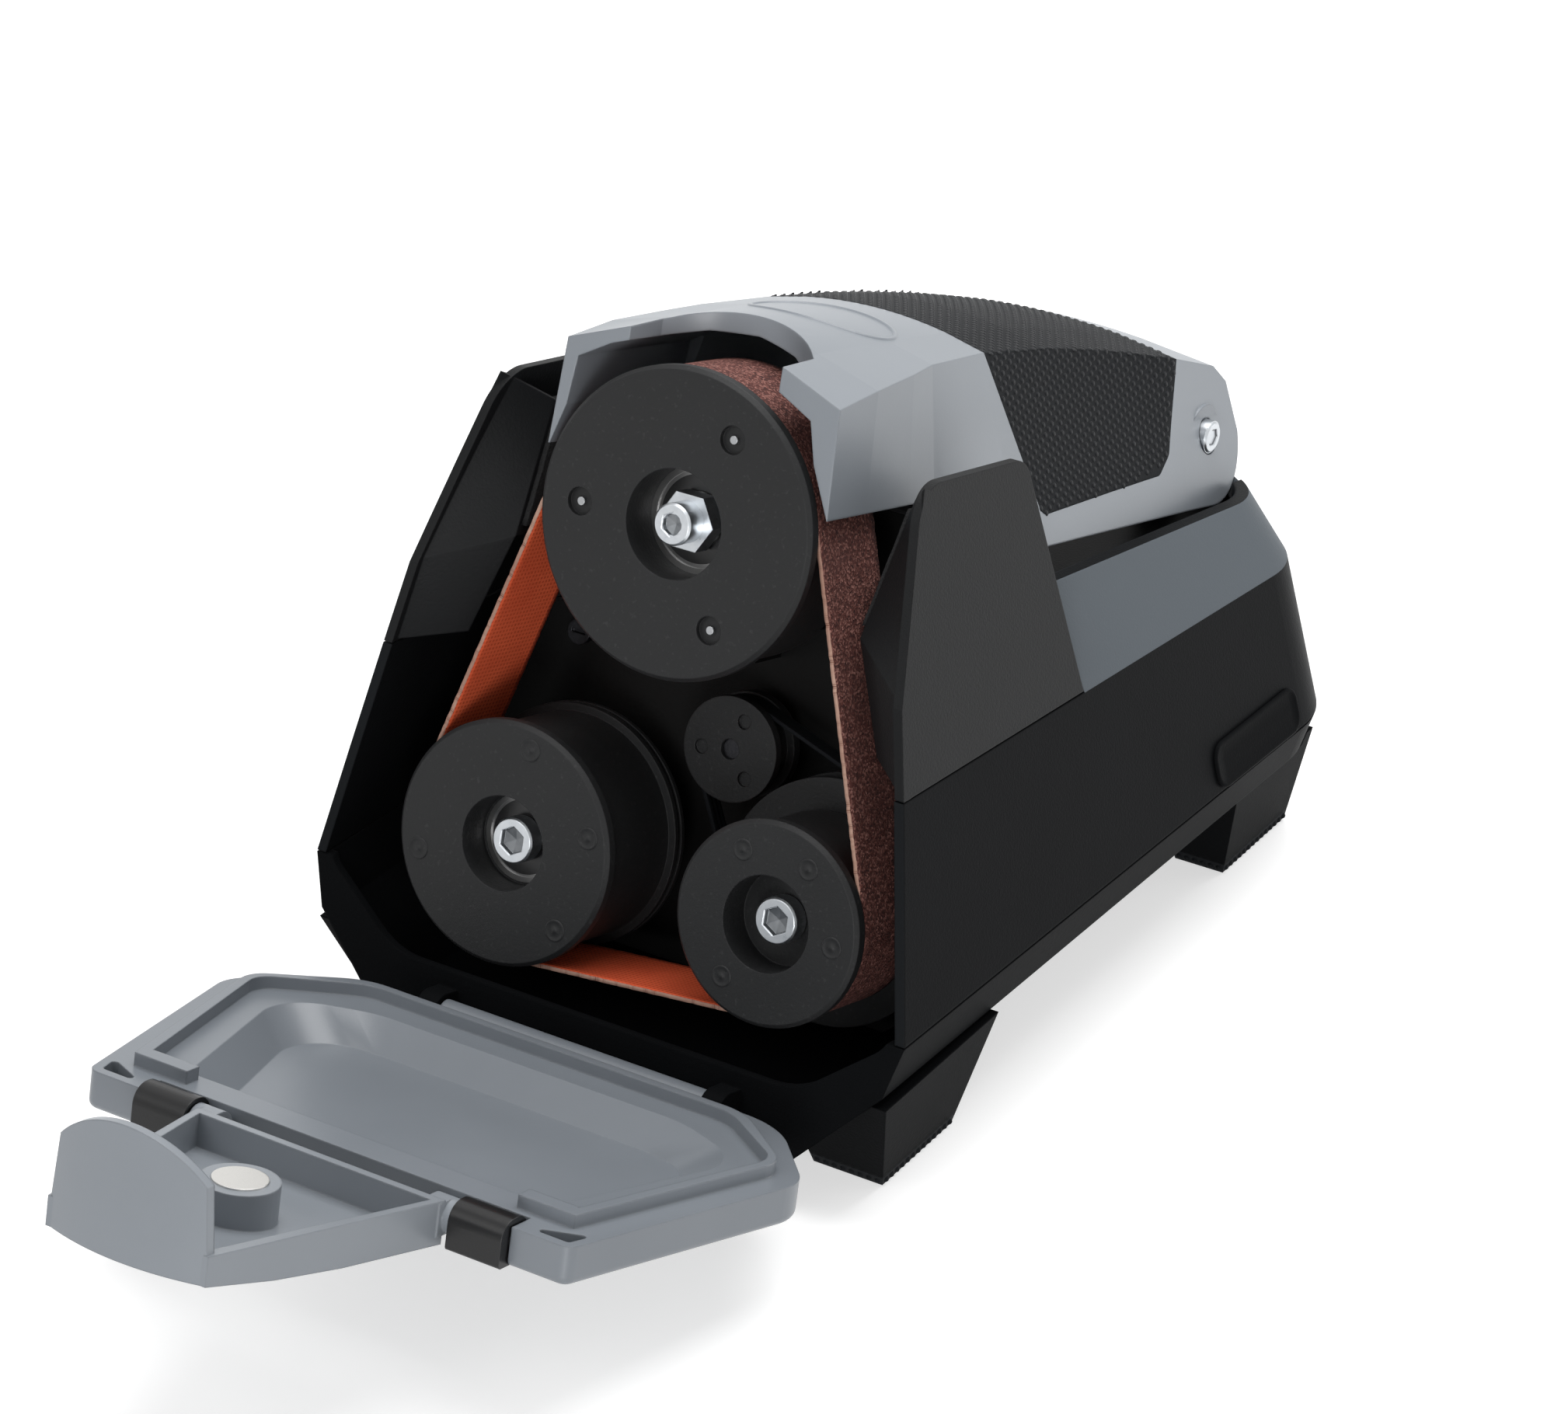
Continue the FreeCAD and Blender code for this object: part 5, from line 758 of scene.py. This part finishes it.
# %% Rounded plaque
PLAQUE_ROUND, PLAQUE_SINK, ARC_POINTS = 4.5, 0.5, 9
PLAQUE_PROFILE = ((0.0, -PLAQUE_SINK), (0.0, -0.05), (0.35, 0.15), (1.0, 0.15), (1.25, 0.0), (PLAQUE_ROUND, 0.0))
QUARTERS = ((1, 1, 0.0), (-1, 1, math.pi / 2), (-1, -1, math.pi), (1, -1, -math.pi / 2))
plaque_mesh = solids["side_plaque"].data
outer_faces = [f for f in plaque_mesh.polygons if f.normal.x > 0.9]
outer = np.array([plaque_mesh.vertices[i].co for f in outer_faces for i in f.vertices])
plaque_out = np.mean([np.array(f.normal) for f in outer_faces], axis=0)
near, far = (outer[np.abs(outer[:, 1] - y) < MM] for y in (outer[:, 1].min(), outer[:, 1].max()))
plaque_corners = np.array([[near[near[:, 2].argmin()], near[near[:, 2].argmax()]],
                           [far[far[:, 2].argmin()], far[far[:, 2].argmax()]]])
half_long = np.linalg.norm(plaque_corners[1, 0] - plaque_corners[0, 0]) / MM / 2
half_tall = np.linalg.norm(plaque_corners[0, 1] - plaque_corners[0, 0]) / MM / 2
arc = np.linspace(0, math.pi / 2, ARC_POINTS)
quarter = np.array([(a * (half_long - PLAQUE_ROUND), b * (half_tall - PLAQUE_ROUND), turn + start)
                    for a, b, start in QUARTERS for turn in arc])
plaque_rows = []
for inset, lift in PLAQUE_PROFILE:
    across = (quarter[:, 0] + (PLAQUE_ROUND - inset) * np.cos(quarter[:, 2])) / half_long / 2 + 0.5
    upward = (quarter[:, 1] + (PLAQUE_ROUND - inset) * np.sin(quarter[:, 2])) / half_tall / 2 + 0.5
    shares = np.stack([np.stack([(1 - across) * (1 - upward), (1 - across) * upward], 1),
                       np.stack([across * (1 - upward), across * upward], 1)], 1)
    plaque_rows.append(np.einsum("kij,ijc->kc", shares, plaque_corners) + lift * MM * plaque_out)
plaque_rows.append(np.broadcast_to(plaque_corners.mean((0, 1)), plaque_rows[0].shape))
plaque = new_piece("bare_plaque", np.stack(plaque_rows), grid_faces(len(plaque_rows), len(quarter), False, True),
                   [TRAY_BLACK], "case")
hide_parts("side_plaque")
print("plaque", round(2 * half_long, 1), round(2 * half_tall, 1))

# %% [markdown]
# ## Screw heads
# The heads in the three wheels and at the lid's pivots are plated socket screws. A head is one surface of
# rings: up the side, over a small chamfer, in to a six-sided socket and down to its floor. A ring's reach
# changes with the angle, so the same grid goes from round to hexagonal.

# %% Socket heads
HEAD_SIDES, HEAD_CHAMFER, SOCKET_CHAMFER, DRILL_TIP = 48, 0.5, 0.25, 0.6
WHEEL_HEAD, TOP_HEAD, PIVOT_HEAD = (5.7, 4.6, 6.0, 1.5), (5.05, 1.6, 4.9, 1.5), (4.1, 1.6, 4.0, 0.4)
WHEEL_PROUD, TOP_PROUD, PIVOT_PROUD = 1.7, 0.1, 0.5
PIVOT_V, PIVOT_N = 14.4, -184.4
RIGHTWARD = np.array([AXES[1], AXES[2], AXES[0]])
LEFTWARD = np.array([AXES[2], AXES[1], -AXES[0]])


def socket_head(name, centre, axes, size, body):
    """Rings of points round an axis, for a size of radius, height, flats and socket depth. The socket's reach at an
    angle is half its flats over the cosine of the angle to the nearest flat's middle."""
    radius, height, flats, depth = size
    around_head = np.linspace(0, 2 * math.pi, HEAD_SIDES, endpoint=False)
    to_flat = (around_head + math.pi / 6) % (math.pi / 3) - math.pi / 6
    socket = flats / 2 / np.cos(to_flat)
    plain = np.ones_like(around_head)
    rows = [(plain * radius, -height), (plain * radius, -HEAD_CHAMFER), (plain * (radius - HEAD_CHAMFER), 0.0),
            (socket + SOCKET_CHAMFER, 0.0), (socket, -SOCKET_CHAMFER), (socket, -depth),
            (plain * 0.0, -depth - DRILL_TIP)]
    reach = np.stack([row[0] for row in rows])
    level = np.array([row[1] for row in rows])[:, None]
    local = np.stack(np.broadcast_arrays(reach * np.cos(around_head), reach * np.sin(around_head), level), -1)
    points = to_row(centre) + local @ (axes * MM)
    # The faces inside the socket get the darker zinc, which is painted shade of the recess.
    in_socket_painted_shade = np.repeat((np.arange(len(rows) - 1) > 3).astype(int), HEAD_SIDES)
    new_piece(name, points, grid_faces(*reach.shape, False, True), [ZINC, SOCKET_PAINTED_SHADE], body, in_socket_painted_shade,
              smooth=False)


def front_of(node_name):
    """How far a solid reaches out of the wheel plane: the largest n of its corners, in mm."""
    corners = np.array([v.co for v in solids[node_name].data.vertices])
    return ((corners / MM - WHEEL) @ AXES[2]).max()


left_n = front_of("left_shoulder_screw") + WHEEL_PROUD
right_n = front_of("right_screw") + WHEEL_PROUD
top_n = front_of("top_cap_screw") + TOP_PROUD
pivot_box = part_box("lid_pivot_screws")
right_u = pivot_box[1].x / MM - WHEEL[0] + PIVOT_PROUD
left_u = pivot_box[0].x / MM - WHEEL[0] - PIVOT_PROUD
socket_head("left_wheel_screw_head", (*LEFT_CENTRE, left_n), AXES, WHEEL_HEAD, "case")
socket_head("right_wheel_screw_head", (*RIGHT_CENTRE, right_n), AXES, WHEEL_HEAD, "right_wheel")
socket_head("top_wheel_screw_head", (*TOP_CENTRE, top_n), AXES, TOP_HEAD, "carriage")
socket_head("right_pivot_head", (right_u, PIVOT_V, PIVOT_N), RIGHTWARD, PIVOT_HEAD, "case")
socket_head("left_pivot_head", (left_u, PIVOT_V, PIVOT_N), LEFTWARD, PIVOT_HEAD, "case")
print("socket heads at n", round(left_n, 2), round(right_n, 2), round(top_n, 2))

# %% [markdown]
# ## Moulding marks
# Ejector pins leave round marks on the faces of the lower wheels: a low rim round a shallow dish with a point
# in its middle. The mark is a profile turned about its own axis.

# %% Moulding marks
MARK_PROFILE = np.array([(1.12, -0.1), (1.08, 0.16), (0.96, 0.2), (0.86, 0.06), (0.3, 0.04), (0.22, 0.2),
                         (0.0, 0.26)])
MARK_SIDES = 24


def turned_marks(name, centre, radius, angles, circle, body):
    """A profile of (reach, height) turned about an axis, and repeated at each angle on a circle about the wheel's
    centre, on its front face at n = 0."""
    around_mark = np.linspace(0, 2 * math.pi, MARK_SIDES, endpoint=False)
    reach, height = radius * MARK_PROFILE[:, :1], MARK_PROFILE[:, 1:]
    mark = np.stack(np.broadcast_arrays(reach * np.cos(around_mark), reach * np.sin(around_mark), height), -1)
    spots = np.array([[centre[0] + circle * math.cos(a), centre[1] + circle * math.sin(a), 0.0]
                      for a in np.radians(angles)])
    points = spots[:, None, None, :] + mark
    one = grid_faces(len(MARK_PROFILE), MARK_SIDES, False, True)
    base = len(MARK_PROFILE) * MARK_SIDES * np.arange(len(spots))[:, None, None]
    new_piece(name, to_row(points), (one + base).reshape(-1, 4), [WHEEL_BLACK], body)
    print(name, len(spots))


turned_marks("left_wheel_marks", LEFT_CENTRE, 2.5, (80.7, 18.6, -42.6, 198.4), 24.6, "left_wheel")
turned_marks("right_wheel_marks", RIGHT_CENTRE, 2.4, (120.0, 61.0, -1.4, 238.8), 18.1, "right_wheel")

# %% [markdown]
# ## Felt pads
# A strip of pressed felt lines each knife slot. Felt has no crisp corner, so the plain solid is stood in for
# by its own outline, cut into small triangles and ruffled along its normals by a sum of sine waves.


# %% Felt pads
def felt_finish():
    """Pressed felt: short curled fibres, from one noise that is stretched and bent."""
    material, tree, shader = bare_material("felt", 0.95, specular=0.1)
    spot = add(tree, "TexCoord").outputs["Object"]
    one_way = add(tree, "Mapping", {"Vector": spot, "Scale": (1.0, 0.3, 1.0), "Rotation": (0.6, 0.3, 0.5)})
    fibres = add(tree, "TexNoise", {"Vector": one_way.outputs[0], "Scale": 2400.0, "Detail": 4.0,
                                    "Distortion": 1.5})
    tree.links.new(mixed(tree, fibres.outputs[0], (0.006, 0.006, 0.006), (0.035, 0.035, 0.036)),
                   shader.inputs["Base Color"])
    bump = add(tree, "Bump", {"Height": fibres.outputs[0], "Strength": 0.9, "Distance": 0.0004})
    tree.links.new(bump.outputs[0], shader.inputs["Normal"])
    return material


FELT = felt_finish()
FELT_EDGE, FELT_ROUNDS, RUFFLE = 2.4, 5, 0.05
RUFFLE_WAVES = np.array([[1900.0, 2700.0, 2300.0], [-3100.0, 1500.0, 2900.0]])


def ruffled_mesh(name, node_name):
    """A solid's own surface, welded, cut until no edge is long and moved in and out along its normals."""
    work = bmesh.new()
    work.from_mesh(solids[node_name].data)
    bmesh.ops.remove_doubles(work, verts=work.verts, dist=WELD)
    for _ in range(FELT_ROUNDS):
        long_edges = [e for e in work.edges if e.calc_length() > FELT_EDGE * MM]
        if not long_edges:
            break
        bmesh.ops.subdivide_edges(work, edges=long_edges, cuts=1)
        bmesh.ops.triangulate(work, faces=[f for f in work.faces if len(f.verts) > 3])
    bmesh.ops.recalc_face_normals(work, faces=work.faces)
    mesh = bpy.data.meshes.new(name)
    work.to_mesh(mesh)
    work.free()
    points = np.empty(3 * len(mesh.vertices), np.float32)
    normals = np.empty_like(points)
    mesh.vertices.foreach_get("co", points)
    mesh.vertices.foreach_get("normal", normals)
    points, normals = points.reshape(-1, 3), normals.reshape(-1, 3)
    ruffle = np.sin(points @ RUFFLE_WAVES.T).sum(1, keepdims=True)
    points += RUFFLE * MM * ruffle * normals
    mesh.vertices.foreach_set("co", points.ravel())
    mesh.materials.append(FELT)
    return mesh


for side_name in ("right", "left"):
    felt_mesh = ruffled_mesh(side_name + "_felt_pad", side_name + "_felt")
    felt_pad = mounted(side_name + "_felt_pad", felt_mesh, "case")
    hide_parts(side_name + "_felt")
    print(felt_pad.name, len(felt_mesh.polygons))

# %% [markdown]
# ## Oval on the lid
# The top of the lid carries a plain oval rim. Its points are set on an ellipse, dropped straight on to the
# lid, and the rim's small section is carried round them.

# %% Lid oval
OVAL_N, OVAL_REACH, OVAL_RIM, OVAL_FLAT, OVAL_RISE, OVAL_SINK = -54.0, (19.0, 12.5), 0.7, 0.7, 0.35, -0.15
OVAL_SECTION = ((OVAL_RIM, OVAL_SINK), (OVAL_RIM * OVAL_FLAT, OVAL_RISE),
                (-OVAL_RIM * OVAL_FLAT, OVAL_RISE), (-OVAL_RIM, OVAL_SINK))
OVAL_DROP_FROM, OVAL_POINTS = 90.0, 120
lid_tree = surface_tree("lid")
oval_turn = np.linspace(0, 2 * math.pi, OVAL_POINTS, endpoint=False)
oval_rows = []
for grow, rise in OVAL_SECTION:
    ellipse = np.stack([(OVAL_REACH[0] + grow) * np.cos(oval_turn), np.full(OVAL_POINTS, OVAL_DROP_FROM),
                        OVAL_N + (OVAL_REACH[1] + grow) * np.sin(oval_turn)], 1)
    landed = [lid_tree.ray_cast(Vector(p), Vector(-AXES[1])) for p in to_row(ellipse)]
    oval_rows.append([np.array(spot) + rise * MM * np.array(normal)
                      for spot, normal, *_ in landed if spot is not None])
if all(len(row) == OVAL_POINTS for row in oval_rows):
    new_piece("lid_oval", np.array(oval_rows), grid_faces(len(oval_rows), OVAL_POINTS, False, True),
              [COVER_GREY], "lid")
print("oval points", [len(row) for row in oval_rows])
